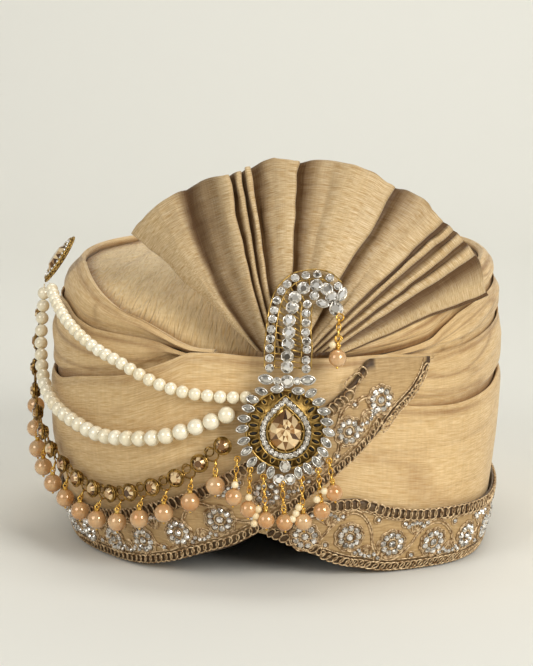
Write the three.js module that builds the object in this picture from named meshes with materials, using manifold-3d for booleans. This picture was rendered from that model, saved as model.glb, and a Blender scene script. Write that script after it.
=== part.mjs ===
// A ready-tied ceremonial turban. Millimetres, +Z up, the wearer's face towards -Y, standing on z = 0.
// Azimuths are in degrees from the front, positive towards +X, seen from above.
// Offsets are measured outward from the body form, the smooth outer shape of the wound cloth.
import * as THREE from "three";
import { mergeVertices } from "three/addons/utils/BufferGeometryUtils.js";
import Module from "manifold-3d";

const wasm = await Module();
wasm.setup();

// Driving dimensions
const PLAN_ROUNDNESS = 2.12;
const CLOTH_LAYER = 3;
const CROWN_RIM_OFFSET = -7.2;
const HEAD_HOLLOW_OFFSET = -24;
const RIM_HOLLOW_OFFSET = -18;
const BASE_OFFSET = -8.6;
const TAIL_INNER_OFFSET = -6.6;
const TAIL_OUTER_OFFSET = -3.6;
const CROWN_TOP = 138;
const CROWN_FLATNESS = 3.2;
const CROWN_THICKNESS = 2;
const HEM_DROP = 4;
const BASE_TOP_THICKNESS = 3;
const WRAP_TUCK = 10;
const RIBBON_LIFT = 1;
const RIBBON_THICKNESS = 1.2;
const TRIM_THICKNESS = 1.2;
const TRIM_HEIGHT = 4.8;
const FAN_THICKNESS = 1.6;
const CENTRE_SHIFT_X = 7.6;
const CENTRE_SHIFT_Y = 9.4;

// The body form: how far it reaches to each side at each height, and how far its widest places lie forward
const BODY = [
  { z: 0, left: -102, right: 104.5, front: -131, back: 131, forwardLeft: 20, forwardRight: 45 },
  { z: 25, left: -110, right: 110, front: -135, back: 134, forwardLeft: 20, forwardRight: 42 },
  { z: 60, left: -119, right: 113, front: -138, back: 137, forwardLeft: 9, forwardRight: 14 },
  { z: 95, left: -121, right: 113.5, front: -137, back: 138, forwardLeft: 0, forwardRight: 0 },
  { z: 120, left: -118, right: 112, front: -132, back: 135, forwardLeft: 0, forwardRight: 0 },
  { z: 137, left: -110, right: 107, front: -122, back: 129, forwardLeft: 0, forwardRight: 0 },
  { z: 145, left: -102, right: 100, front: -112, back: 121, forwardLeft: 0, forwardRight: 0 },
];

// The wrap's own azimuth, turn, runs on past 360 where the cloth laps over its beginning at the front.
// low and high are its lower and upper edge, out its outer face, inside its inner face.
const LOWER_WRAP = [
  { turn: -15, low: 24, high: 86, out: -0.2, inside: -6.6 },
  { turn: 3.5, low: 21.8, high: 86, out: -0.2, inside: -6.6 },
  { turn: 15, low: 13, high: 86, out: 0, inside: -6.6 },
  { turn: 25, low: 5, high: 86, out: 0, inside: -6.6 },
  { turn: 30, low: 2.4, high: 84.5, out: 0, inside: -6.6 },
  { turn: 35, low: 0.6, high: 83, out: 0, inside: -6.6 },
  { turn: 40, low: 0, high: 81.2, out: 0, inside: -6.6 },
  { turn: 46, low: 0, high: 79.2, out: 0, inside: -6.6 },
  { turn: 60, low: 0, high: 76.7, out: 0, inside: -6.6 },
  { turn: 77, low: 0, high: 78, out: 0, inside: -6.6 },
  { turn: 90, low: 0, high: 80.5, out: 0, inside: -6.6 },
  { turn: 180, low: 0, high: 83, out: 0, inside: -6.6 },
  { turn: 300, low: 0, high: 83.8, out: 0, inside: -6.6 },
  { turn: 315, low: 0, high: 89.2, out: 0, inside: -6.6 },
  { turn: 324, low: 0, high: 92.2, out: 0.8, inside: -6.6 },
  { turn: 332, low: 1.2, high: 95, out: 2, inside: -6.6 },
  { turn: 340, low: 4.6, high: 100.6, out: 3.2, inside: -5 },
  { turn: 345, low: 8, high: 105, out: 3.6, inside: 0.6 },
  { turn: 350, low: 11.4, high: 109, out: 3.6, inside: 0.6 },
  { turn: 356, low: 15, high: 109.3, out: 3.6, inside: 0.6 },
  { turn: 362.5, low: 21.5, high: 108.4, out: 3.6, inside: 0.6 },
  { turn: 384.6, low: 54.4, high: 107, out: 3.6, inside: 0.6 },
  { turn: 390.4, low: 65.8, high: 107.2, out: 3.6, inside: 0.6 },
  { turn: 394.9, low: 76, high: 107, out: 3.6, inside: 0.6 },
  { turn: 399.5, low: 84.4, high: 106, out: 3.6, inside: 0.6 },
  { turn: 402.5, low: 92, high: 105.4, out: 3.6, inside: 0.6 },
  { turn: 405, low: 100.4, high: 104.8, out: 3.6, inside: 0.6 },
  { turn: 407.5, low: 102.2, high: 104, out: 3.6, inside: 0.6 },
];

// The narrow wraps run from the right front round the back to the left front.
const UPPER_WRAP_1 = [
  { turn: 25, low: 86.6, high: 101 },
  { turn: 35, low: 83.6, high: 102.5 },
  { turn: 46, low: 79.8, high: 103.2 },
  { turn: 60, low: 77.3, high: 104.6 },
  { turn: 77, low: 78.6, high: 107.7 },
  { turn: 90, low: 81.1, high: 110 },
  { turn: 135, low: 82.4, high: 114 },
  { turn: 180, low: 83.6, high: 118 },
  { turn: 225, low: 84, high: 120.5 },
  { turn: 270, low: 84.2, high: 122.5 },
  { turn: 300, low: 84.4, high: 121.5 },
  { turn: 311, low: 88.2, high: 116.3 },
  { turn: 320, low: 91.6, high: 113.8 },
  { turn: 334, low: 97, high: 113.1 },
  { turn: 340, low: 101.2, high: 112 },
  { turn: 345, low: 105.6, high: 109 },
  { turn: 350, low: 103.4, high: 106.8 },
];
const UPPER_WRAP_2 = [
  { turn: 25, low: 101.6, high: 104.6 },
  { turn: 35, low: 103.1, high: 106.2 },
  { turn: 48, low: 103.9, high: 110.3 },
  { turn: 53, low: 104.6, high: 115.4 },
  { turn: 60, low: 105.2, high: 120.8 },
  { turn: 68, low: 106.6, high: 123.3 },
  { turn: 90, low: 110.6, high: 127 },
  { turn: 135, low: 114.6, high: 131 },
  { turn: 180, low: 118.6, high: 134 },
  { turn: 225, low: 121.1, high: 138.2 },
  { turn: 247, low: 122.3, high: 139.6 },
  { turn: 270, low: 122.6, high: 140.2 },
  { turn: 294, low: 122.4, high: 139.8 },
  { turn: 300, low: 122.1, high: 138.5 },
  { turn: 308, low: 118.9, high: 135.2 },
  { turn: 318.5, low: 114.8, high: 129.5 },
  { turn: 327, low: 114, high: 124.7 },
  { turn: 334.5, low: 113.7, high: 121.5 },
  { turn: 341, low: 112, high: 116.7 },
  { turn: 346, low: 109.4, high: 112.4 },
  { turn: 350, low: 107.6, high: 110.4 },
  { turn: 355, low: 107.3, high: 109.9 },
];
const UPPER_WRAP_3 = [
  { turn: 25, low: 105.2, high: 110.5 },
  { turn: 35, low: 106.8, high: 114.5 },
  { turn: 48, low: 110.9, high: 122 },
  { turn: 53, low: 116, high: 126 },
  { turn: 60, low: 121.4, high: 130.5 },
  { turn: 68, low: 123.9, high: 135 },
  { turn: 77, low: 125.4, high: 138.5 },
  { turn: 90, low: 127.6, high: 140.5 },
  { turn: 135, low: 131.6, high: 141.5 },
  { turn: 180, low: 134.6, high: 142 },
  { turn: 225, low: 138.8, high: 141.8 },
  { turn: 232.5, low: 139, high: 141.4 },
];

// The top hem of the wraps, which the crown tucks into
const HEM = [
  { azimuth: -180, z: 142 },
  { azimuth: -127.5, z: 141.4 },
  { azimuth: -113, z: 139.6 },
  { azimuth: -90, z: 140.2 },
  { azimuth: -66, z: 139.8 },
  { azimuth: -52, z: 135.2 },
  { azimuth: -41.5, z: 129.5 },
  { azimuth: -33, z: 124.7 },
  { azimuth: -25.5, z: 121.5 },
  { azimuth: -19, z: 116.7 },
  { azimuth: -14, z: 112.4 },
  { azimuth: -8, z: 109.6 },
  { azimuth: 10, z: 108.6 },
  { azimuth: 25, z: 110.5 },
  { azimuth: 35, z: 114.5 },
  { azimuth: 48, z: 122 },
  { azimuth: 53, z: 126 },
  { azimuth: 60, z: 130.5 },
  { azimuth: 68, z: 135 },
  { azimuth: 77, z: 138.5 },
  { azimuth: 90, z: 140.5 },
  { azimuth: 135, z: 141.5 },
  { azimuth: 180, z: 142 },
];

// The base rises in a low arch over the brow.
const BASE_RIM = [
  { azimuth: -180, z: 0 },
  { azimuth: -40, z: 0 },
  { azimuth: -30, z: 1.5 },
  { azimuth: -20, z: 5.5 },
  { azimuth: -10, z: 12 },
  { azimuth: 0, z: 19.5 },
  { azimuth: 3.5, z: 22.6 },
  { azimuth: 15, z: 14.5 },
  { azimuth: 25, z: 6.5 },
  { azimuth: 35, z: 1.2 },
  { azimuth: 40, z: 0 },
  { azimuth: 180, z: 0 },
];

// Upper edge of the ribbon; its lower edge is the wrap's own
const BORDER_TOP = [
  { turn: 6, z: 23 },
  { turn: 10, z: 27.4 },
  { turn: 15, z: 32.8 },
  { turn: 20, z: 38.6 },
  { turn: 27, z: 39 },
  { turn: 36, z: 33.5 },
  { turn: 45, z: 30.6 },
  { turn: 60, z: 29.6 },
  { turn: 90, z: 28.5 },
  { turn: 270, z: 27 },
  { turn: 300, z: 24.5 },
  { turn: 320, z: 25.4 },
  { turn: 331, z: 29.6 },
  { turn: 342, z: 37.4 },
  { turn: 350, z: 43.5 },
  { turn: 357.4, z: 52 },
  { turn: 382, z: 87.6 },
  { turn: 387.4, z: 98.8 },
  { turn: 390, z: 106 },
  { turn: 407.5, z: 103.7 },
];

// Rim of the fan by angle round its gathered base: reach, and how far its rim leans back
const FAN_BASE = { x: 21.9, y: -141, z: 98 };
const FAN_RIM = [
  { angle: 20, reach: 94, back: 83 },
  { angle: 32, reach: 97.5, back: 72 },
  { angle: 45, reach: 97.5, back: 60 },
  { angle: 60, reach: 98.5, back: 50 },
  { angle: 90, reach: 99, back: 44 },
  { angle: 110, reach: 98, back: 45 },
  { angle: 125, reach: 100.7, back: 51 },
  { angle: 146, reach: 105, back: 62 },
];
// Fold lines of the fan, left to right: angle at the rim and near the base, height of the cloth on each side
const FAN_FOLDS = [
  { rim: 146, base: 141, before: 2, after: 2 },
  { rim: 137, base: 140.2, before: 6, after: 6 },
  { rim: 129.5, base: 139, before: 4.5, after: 4.5 },
  { rim: 124.8, base: 137, before: 0, after: 0 },
  { rim: 117, base: 130, before: 3.5, after: 3.5 },
  { rim: 110.6, base: 121, before: 7, after: 2 },
  { rim: 107.3, base: 114, before: 6, after: 2 },
  { rim: 103.9, base: 106, before: 7, after: 1.5 },
  { rim: 97, base: 99, before: 5.5, after: 5.5 },
  { rim: 90, base: 90, before: 6.5, after: 0.5 },
  { rim: 81, base: 82, before: 2, after: 2 },
  { rim: 74, base: 77, before: 6, after: 6 },
  { rim: 61.4, base: 67, before: 5.5, after: 0 },
  { rim: 52, base: 58, before: 4, after: 4 },
  { rim: 44.4, base: 52, before: 7.5, after: 2.5 },
  { rim: 40.6, base: 45, before: 7, after: 2.5 },
  { rim: 36.4, base: 38, before: 7, after: 2.5 },
  { rim: 31, base: 32.5, before: 7.5, after: 1.5 },
  { rim: 20.2, base: 25, before: 2, after: 0 },
];
const FAN_ROWS = [0, 0.32, 0.66, 1];
const FAN_START = 12;
const FAN_START_LIMIT = 26;
const FOLD_SPLIT = 0.5;
// Between these rim angles the fold lines change from swinging early to swinging late.
const SWING_FROM = 112;
const SWING_TO = 124;
const EARLY_SWING = 0.5;
const LATE_SWING = 1.2;

// Routes on the body form: azimuth, height and offset of the thread
const UPPER_STRAND = [
  { azimuth: 4.6, z: 89.9, offset: 7.2 },
  { azimuth: 0, z: 89.6, offset: 7.4 },
  { azimuth: -4.6, z: 89.9, offset: 7.6 },
  { azimuth: -10.4, z: 91.1, offset: 8 },
  { azimuth: -16, z: 93.7, offset: 7.8 },
  { azimuth: -21.5, z: 97.7, offset: 7.2 },
  { azimuth: -27.3, z: 102, offset: 6.2 },
  { azimuth: -33.9, z: 105.4, offset: 5 },
  { azimuth: -40, z: 109.4, offset: 4.6 },
  { azimuth: -47.8, z: 115, offset: 4.6 },
  { azimuth: -52.5, z: 118.6, offset: 4.6 },
  { azimuth: -57.6, z: 122, offset: 4.8 },
  { azimuth: -62.7, z: 125.5, offset: 5.6 },
  { azimuth: -67, z: 128, offset: 7 },
];
const LOWER_STRAND = [
  { azimuth: 0.6, z: 83.4, offset: 8.2 },
  { azimuth: -2.4, z: 80, offset: 8.4 },
  { azimuth: -8.6, z: 74.6, offset: 8.8 },
  { azimuth: -16.1, z: 69.1, offset: 9.2 },
  { azimuth: -27.3, z: 65.6, offset: 7.4 },
  { azimuth: -35.1, z: 65.2, offset: 5.8 },
  { azimuth: -43.6, z: 68.3, offset: 5.4 },
  { azimuth: -51.6, z: 71.9, offset: 5.4 },
  { azimuth: -57.5, z: 76, offset: 5.4 },
  { azimuth: -63, z: 82, offset: 5.4 },
  { azimuth: -67, z: 92, offset: 5.4 },
  { azimuth: -69.5, z: 104, offset: 5.4 },
  { azimuth: -71, z: 116, offset: 6.2 },
  { azimuth: -71.5, z: 126, offset: 8.4 },
];
const STONE_CHAIN = [
  { azimuth: 1, z: 71, offset: 10 },
  { azimuth: -2.9, z: 65.7, offset: 8.8 },
  { azimuth: -8.8, z: 55.7, offset: 8.4 },
  { azimuth: -15.5, z: 47.4, offset: 8.2 },
  { azimuth: -22.8, z: 41.7, offset: 7.6 },
  { azimuth: -30.1, z: 37.4, offset: 6.6 },
  { azimuth: -37.9, z: 36, offset: 5 },
  { azimuth: -45.5, z: 38.3, offset: 4.4 },
  { azimuth: -52.3, z: 42.9, offset: 4.4 },
  { azimuth: -59, z: 49, offset: 5.4 },
  { azimuth: -65.5, z: 57.5, offset: 6.6 },
  { azimuth: -70.5, z: 68, offset: 7.6 },
  { azimuth: -74, z: 80, offset: 8 },
  { azimuth: -76.5, z: 94, offset: 7.4 },
  { azimuth: -77.5, z: 108, offset: 7 },
  { azimuth: -77, z: 121, offset: 8.6 },
];
const UPPER_BEAD = 7;
const LOWER_BEAD = 9;
const LOWER_BEAD_TAPER = 1.4;
const BEAD_LENGTH = 0.86;
const CUP_DIAMETER = 9.6;
const CUP_PITCH = 14.6;
const CHAIN_START = 2.5;
const CUP_THICKNESS = 4;
const DROP_HANG = 15.6;
const DROP_PEARL = 9.2;
const DROP_GAP = 2.4;

// The brooch in its own plane: u to the right, v up, from the centre of its large stone
const BROOCH = { x: 21.8, y: -145.6, z: 76.3, turn: 9, tilt: 2 };
const PLATE_THICKNESS = 1.6;
const RING_RADIUS = 19.6;
const PETAL_RING_RADIUS = 20.8;
const PETAL_LENGTH = 6;
const PETAL_WIDTH = 3.6;
const PETAL_LIFT = 0.9;
const RING_CENTRE_V = -0.6;
const SLOTS = { count: 20, inner: 14.2, innerAtTop: 16.6, outer: 17.6, halfAngle: 0.06 };
const PLUME_BEND_START = 26;
const PLUME_BEND = 0.0065;
const PLUME_SINK = 0.163;
const PEAR = { left: -7.5, right: 7.5, top: 9.2, bottom: -10.2 };
const HALO_OUTER = { x: 12, top: 15.3, bottom: -14.6 };
const PETALS = [
  { radius: 20.2, angle: 56 },
  { radius: 18.8, angle: 72 },
  { radius: 18.8, angle: 101 },
  { radius: 20.8, angle: 121 },
  { radius: 16.8, angle: 270 },
  { radius: 22.2, angle: 261 },
  { radius: 22.2, angle: 276 },
  { radius: 25.2, angle: 110.5 },
  { radius: 25.2, angle: 66 },
];
const SIDE_PETALS = 9;
const SIDE_PETAL_FIRST = 135;
const SIDE_PETAL_STEP = 14.4;
// The plume narrows and curls over to the right: its outer and inner edge, side by side
const PLUME = [
  { outerU: -5, outerV: 18, innerU: 5, innerV: 18 },
  { outerU: -9, outerV: 22.5, innerU: 9.5, innerV: 22.5 },
  { outerU: -9.2, outerV: 26, innerU: 11.4, innerV: 26 },
  { outerU: -9.4, outerV: 33, innerU: 11.8, innerV: 32 },
  { outerU: -9.2, outerV: 41, innerU: 11.6, innerV: 39 },
  { outerU: -8.6, outerV: 48.5, innerU: 11.5, innerV: 45 },
  { outerU: -7.2, outerV: 56.5, innerU: 11.5, innerV: 50 },
  { outerU: -4.2, outerV: 64.5, innerU: 12, innerV: 54.5 },
  { outerU: 0.4, outerV: 70.6, innerU: 13.6, innerV: 56.8 },
  { outerU: 7, outerV: 74.2, innerU: 15.6, innerV: 56.6 },
  { outerU: 14.6, outerV: 75, innerU: 17.8, innerV: 56 },
  { outerU: 22, outerV: 73, innerU: 20.4, innerV: 54.6 },
  { outerU: 27.2, outerV: 67, innerU: 22.6, innerV: 53.2 },
  { outerU: 28.4, outerV: 61, innerU: 25.6, innerV: 54 },
];
const TASSELS = [
  { u: -22.3, v: -14.4, pearlU: -24, pearlV: -32.1 },
  { u: -16.4, v: -19.4, pearlU: -17.2, pearlV: -37.8 },
  { u: -10.2, v: -22.8, pearlU: -9, pearlV: -43 },
  { u: -1.6, v: -26.2, pearlU: -0.3, pearlV: -44 },
  { u: 7.5, v: -23.8, pearlU: 8.4, pearlV: -43.8 },
  { u: 15.3, v: -19.8, pearlU: 16.9, pearlV: -38.6 },
  { u: 20.3, v: -15.3, pearlU: 22.6, pearlV: -30 },
];
const TASSEL_PEARL = 8.2;
const SMALL_PEARL = 3.6;
const HOOK_DROP = { u: 24.2, v: 51.6, pearlV: 33, pearl: 8.4 };
const SIDE_BROOCH = { x: -110.5, y: -40, z: 138, turn: -70, tilt: 34 };
const SIDE_PLATE = { halfWidth: 10, halfHeight: 13.6, scallops: 12, scallopDepth: 0.1, thickness: 1.4 };
const SIDE_RING = { halfWidth: 7.6, halfHeight: 10.8, thickness: 3.4 };
const SIDE_STONE = { halfWidth: 5.3, halfHeight: 8.5, gap: 0.4 };

// Colours of the finishes
const CLOTH = { color: 0xc8a877, roughness: 0.62, metalness: 0.1 };
const FAN_CLOTH = { color: 0xc0a070, roughness: 0.62, metalness: 0.1 };
const DARK_CLOTH = { color: 0x241c18, roughness: 0.9, metalness: 0 };
const SATIN = { color: 0xcdb79a, roughness: 0.5, metalness: 0 };
const CORD = { color: 0xae8d66, roughness: 0.7, metalness: 0.1 };
const OLD_GOLD = { color: 0x8d7440, roughness: 0.35, metalness: 1 };
const CREAM_PEARL = { color: 0xf1e6d2, roughness: 0.2, metalness: 0 };
const PEACH_PEARL = { color: 0xdfa679, roughness: 0.2, metalness: 0 };
const CHAMPAGNE_STONE = { color: 0xc79a5b, roughness: 0.05, metalness: 0 };

const pagri = new THREE.Group();
pagri.position.set(CENTRE_SHIFT_X, CENTRE_SHIFT_Y, 0);

// Value of a column at a place between the rows of a table, with the rows' slopes smoothed
function valueAt(rows, key, at, column) {
  if (at <= rows[0][key]) return rows[0][column];
  const last = rows.length - 1;
  if (at >= rows[last][key]) return rows[last][column];
  let i = 0;
  while (rows[i + 1][key] < at) i += 1;
  const step = rows[i + 1][key] - rows[i][key];
  const t = (at - rows[i][key]) / step;
  const slope = (a, b) => (rows[b][column] - rows[a][column]) / (rows[b][key] - rows[a][key]);
  const here = slope(i, i + 1);
  const before = i > 0 ? slope(i - 1, i) : here;
  const after = i + 1 < last ? slope(i + 1, i + 2) : here;
  const gentle = (a, b) => (a * b <= 0 ? 0 : (2 * a * b) / (a + b));
  const m0 = i > 0 ? gentle(before, here) * step : here * step;
  const m1 = i + 1 < last ? gentle(here, after) * step : here * step;
  const t2 = t * t;
  const t3 = t2 * t;
  const y0 = rows[i][column];
  const y1 = rows[i + 1][column];
  return (2 * t3 - 3 * t2 + 1) * y0 + (t3 - 2 * t2 + t) * m0 + (3 * t2 - 2 * t3) * y1 + (t3 - t2) * m1;
}

function bodyPlan(z) {
  const left = valueAt(BODY, "z", z, "left");
  const right = valueAt(BODY, "z", z, "right");
  const front = valueAt(BODY, "z", z, "front");
  const back = valueAt(BODY, "z", z, "back");
  return {
    x: (left + right) / 2,
    y: (front + back) / 2,
    halfX: (right - left) / 2,
    halfY: (back - front) / 2,
    forwardLeft: valueAt(BODY, "z", z, "forwardLeft"),
    forwardRight: valueAt(BODY, "z", z, "forwardRight"),
  };
}

// Place on the outline of one height: a rounded oval, drawn forward at its sides
function outlinePoint(plan, azimuth, z) {
  const angle = THREE.MathUtils.degToRad(azimuth);
  const s = Math.sin(angle);
  const c = Math.cos(angle);
  const n = PLAN_ROUNDNESS;
  const k = Math.pow(Math.abs(s) ** n + Math.abs(c) ** n, -1 / n);
  const forward = s > 0 ? plan.forwardRight : plan.forwardLeft;
  return new THREE.Vector3(plan.x + plan.halfX * k * s, plan.y - plan.halfY * k * c - forward * s ** 4, z);
}

// Point on the body form with its outward direction
function bodyFrame(azimuth, z) {
  const plan = bodyPlan(z);
  const step = 0.5;
  const ahead = outlinePoint(plan, azimuth + step, z).sub(outlinePoint(plan, azimuth - step, z));
  const normal = new THREE.Vector3(ahead.y, -ahead.x, 0).normalize();
  return { point: outlinePoint(plan, azimuth, z), normal };
}

function bodyPoint(azimuth, z, offset) {
  const { point, normal } = bodyFrame(azimuth, z);
  return point.addScaledVector(normal, offset);
}

// The same columns serve every wrap, so that neighbouring facets run side by side.
function columns(from, to) {
  const list = [from];
  const fine = 5;
  const coarse = 7.5;
  let at = Math.floor(from / fine) * fine;
  while (at < to) {
    const wrapped = ((at % 360) + 360) % 360;
    at += wrapped >= 60 && wrapped < 300 ? coarse : fine;
    if (at > from && at < to) list.push(at);
  }
  list.push(to);
  return list;
}

// Closed body from a row of like sections. An open row is capped by ladders of triangles.
function loft(sections, closed) {
  const rows = sections.length;
  const size = sections[0].length;
  const positions = [];
  for (const section of sections) {
    for (const p of section) positions.push(p.x, p.y, p.z);
  }
  const index = [];
  const spans = closed ? rows : rows - 1;
  for (let i = 0; i < spans; i += 1) {
    const a = i * size;
    const b = ((i + 1) % rows) * size;
    for (let j = 0; j < size; j += 1) {
      const k = (j + 1) % size;
      index.push(a + j, b + j, b + k, a + j, b + k, a + k);
    }
  }
  if (!closed) {
    for (const [start, flip] of [[0, true], [(rows - 1) * size, false]]) {
      for (let j = 0; j < size / 2 - 1; j += 1) {
        const near = [start + j, start + j + 1, start + size - 2 - j];
        const far = [start + j, start + size - 2 - j, start + size - 1 - j];
        for (const face of [near, far]) index.push(...(flip ? face : [...face].reverse()));
      }
    }
  }
  return outward(positions, index);
}

// Closed body whose profile, at every azimuth, starts and ends on the axis
function shell(azimuths, profileAt, firstPole, lastPole) {
  const positions = [firstPole.x, firstPole.y, firstPole.z];
  const profiles = azimuths.map(profileAt);
  const size = profiles[0].length;
  for (const profile of profiles) {
    for (const p of profile) positions.push(p.x, p.y, p.z);
  }
  const last = positions.length / 3;
  positions.push(lastPole.x, lastPole.y, lastPole.z);
  const index = [];
  const count = azimuths.length;
  for (let i = 0; i < count; i += 1) {
    const a = 1 + i * size;
    const b = 1 + ((i + 1) % count) * size;
    index.push(0, a, b);
    for (let j = 0; j < size - 1; j += 1) {
      index.push(a + j, a + j + 1, b + j + 1, a + j, b + j + 1, b + j);
    }
    index.push(a + size - 1, last, b + size - 1);
  }
  return outward(positions, index);
}

function outward(positions, index) {
  let volume = 0;
  const corner = (i) => new THREE.Vector3().fromArray(positions, 3 * i);
  for (let i = 0; i < index.length; i += 3) {
    const [a, b, c] = [corner(index[i]), corner(index[i + 1]), corner(index[i + 2])];
    volume += a.dot(b.cross(c));
  }
  const faces = [...index];
  if (volume < 0) {
    for (let i = 0; i < faces.length; i += 3) {
      const kept = faces[i];
      faces[i] = faces[i + 1];
      faces[i + 1] = kept;
    }
  }
  const geometry = new THREE.BufferGeometry();
  geometry.setAttribute("position", new THREE.Float32BufferAttribute(positions, 3));
  geometry.setIndex(faces);
  return geometry;
}

function addPiece(name, geometry, finish, parent = pagri) {
  geometry.computeVertexNormals();
  const mesh = new THREE.Mesh(geometry, new THREE.MeshStandardMaterial(finish));
  mesh.name = name;
  parent.add(mesh);
  return mesh;
}

// Solids for joining and cutting
function toSolid(geometry) {
  const bare = geometry.clone();
  bare.deleteAttribute("normal");
  bare.deleteAttribute("uv");
  const merged = mergeVertices(bare, 1e-4);
  return new wasm.Manifold(
    new wasm.Mesh({
      numProp: 3,
      vertProperties: new Float32Array(merged.attributes.position.array),
      triVerts: new Uint32Array(merged.index.array),
    }),
  );
}

function toGeometry(solid) {
  const mesh = solid.getMesh();
  const geometry = new THREE.BufferGeometry();
  geometry.setAttribute("position", new THREE.BufferAttribute(new Float32Array(mesh.vertProperties), 3));
  geometry.setIndex(new THREE.BufferAttribute(new Uint32Array(mesh.triVerts), 1));
  return geometry;
}

function joined(geometries) {
  return geometries.map(toSolid).reduce((whole, next) => whole.add(next));
}

// Height of the crown over the plan: reach 0 at its middle, 1 at the hem
function crownPoint(azimuth, reach, drop, rimOffset) {
  const rimZ = valueAt(HEM, "azimuth", azimuth, "z") - HEM_DROP;
  const rim = bodyPoint(azimuth, rimZ, rimOffset);
  const z = CROWN_TOP - (CROWN_TOP - rimZ) * reach ** CROWN_FLATNESS - drop;
  return new THREE.Vector3(rim.x * reach, rim.y * reach, z);
}

function crown() {
  const ring = columns(-180, 180).slice(0, -1);
  const outer = [0.3, 0.55, 0.75, 0.9, 1];
  const inner = [0.985, 0.9, 0.75, 0.55, 0.3];
  const profileAt = (azimuth) => [
    ...outer.map((reach) => crownPoint(azimuth, reach, 0, CROWN_RIM_OFFSET)),
    ...inner.map((reach) => crownPoint(azimuth, reach, CROWN_THICKNESS, CROWN_RIM_OFFSET)),
  ];
  const top = new THREE.Vector3(0, 0, CROWN_TOP);
  const under = new THREE.Vector3(0, 0, CROWN_TOP - CROWN_THICKNESS);
  addPiece("crown", shell(ring, profileAt, top, under), CLOTH);
}

// The base follows the crown from inside and ends in a flat rim with an arch over the brow.
function baseCap() {
  const ring = columns(-180, 180).slice(0, -1);
  const outerDrop = CROWN_THICKNESS + 0.7;
  const innerDrop = outerDrop + BASE_TOP_THICKNESS;
  const hollowReach = 0.78;
  const shoulder = 12;
  const profileAt = (azimuth) => {
    const rim = valueAt(BASE_RIM, "azimuth", azimuth, "z");
    const hem = valueAt(HEM, "azimuth", azimuth, "z");
    const wallTop = hem - shoulder;
    const hollowTop = Math.min(wallTop - 4, crownPoint(azimuth, hollowReach, innerDrop, BASE_OFFSET).z - 8);
    return [
      ...[0.3, 0.55, 0.75, 0.9].map((reach) => crownPoint(azimuth, reach, outerDrop, BASE_OFFSET)),
      ...[wallTop, 82, 60, 44, 26].map((z) => bodyPoint(azimuth, z, BASE_OFFSET)),
      bodyPoint(azimuth, rim, BASE_OFFSET),
      bodyPoint(azimuth, rim, RIM_HOLLOW_OFFSET),
      bodyPoint(azimuth, 50, HEAD_HOLLOW_OFFSET),
      bodyPoint(azimuth, hollowTop, HEAD_HOLLOW_OFFSET),
      ...[0.72, 0.55, 0.3].map((reach) => crownPoint(azimuth, reach, innerDrop, BASE_OFFSET)),
    ];
  };
  const top = new THREE.Vector3(0, 0, CROWN_TOP - outerDrop);
  const under = new THREE.Vector3(0, 0, CROWN_TOP - innerDrop);
  addPiece("base_cap", shell(ring, profileAt, top, under), DARK_CLOTH);
}

// A section of one wrap: edges low and high, with the tail that is tucked under the wrap below.
// Where the next wrap's tail tucks in behind it, the cloth is hollowed out to one layer.
function wrapSection(azimuth, low, high, tail, tuck) {
  const height = high - low;
  const short = (share, limit) => Math.min(limit, share * height);
  const topInside = tuck > 0 ? -CLOTH_LAYER : -5.6;
  const section = [
    [low - tail, TAIL_OUTER_OFFSET],
    [low + 0.1 * height, TAIL_OUTER_OFFSET],
    [low + short(0.3, 3), -1],
    [low + 0.55 * height, 0.4],
    [high, -1.5],
    [high - short(0.2, 1.5), topInside],
    [high - tuck - short(0.3, 2), topInside],
    [high - tuck - short(0.4, 2.6), TAIL_INNER_OFFSET],
    [low, TAIL_INNER_OFFSET],
    [low - tail, TAIL_INNER_OFFSET],
  ];
  return section.map(([z, offset]) => bodyPoint(azimuth, z, offset));
}

function tuckOf(low, high) {
  return Math.min(WRAP_TUCK, 0.4 * (high - low));
}

function upperWrap(name, rows, below, lastCovered) {
  const edge = (table, turn, column) => valueAt(table, "turn", turn, column);
  const turns = columns(rows[0].turn, rows[rows.length - 1].turn);
  const sections = turns.map((turn) => {
    const low = edge(rows, turn, "low");
    const high = edge(rows, turn, "high");
    const tail = tuckOf(edge(below, turn, "low"), edge(below, turn, "high"));
    const tuck = turn <= lastCovered ? tuckOf(low, high) : 0;
    return wrapSection(turn, low, high, tail, tuck);
  });
  addPiece(name, loft(sections, false), CLOTH);
}

function lowerWrapAt(turn) {
  const column = (name) => valueAt(LOWER_WRAP, "turn", turn, name);
  return { low: column("low"), high: column("high"), out: column("out"), inside: column("inside") };
}

function lowerWrap() {
  const turns = columns(-15, 407.5);
  const sections = turns.map((turn) => {
    const { low, high, out, inside } = lowerWrapAt(turn);
    const height = high - low;
    const tuck = Math.min(WRAP_TUCK + 2, 0.3 * height);
    const upperInside = Math.max(inside, Math.min(out - CLOTH_LAYER, -CLOTH_LAYER + Math.max(out, 0)));
    const section = [
      [low, out - 0.4],
      [low + 0.3 * height, out],
      [low + 0.65 * height, out],
      [high - Math.min(3, 0.2 * height), out],
      [high, out - 1.3],
      [high - Math.min(1, 0.1 * height), upperInside],
      [high - tuck, upperInside],
      [high - tuck - Math.min(3, 0.1 * height), inside],
      [low + 0.3 * height, inside],
      [low, inside],
    ];
    return section.map(([z, offset]) => bodyPoint(turn, z, offset));
  });
  addPiece("lower_wrap", loft(sections, false), CLOTH);
}

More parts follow.
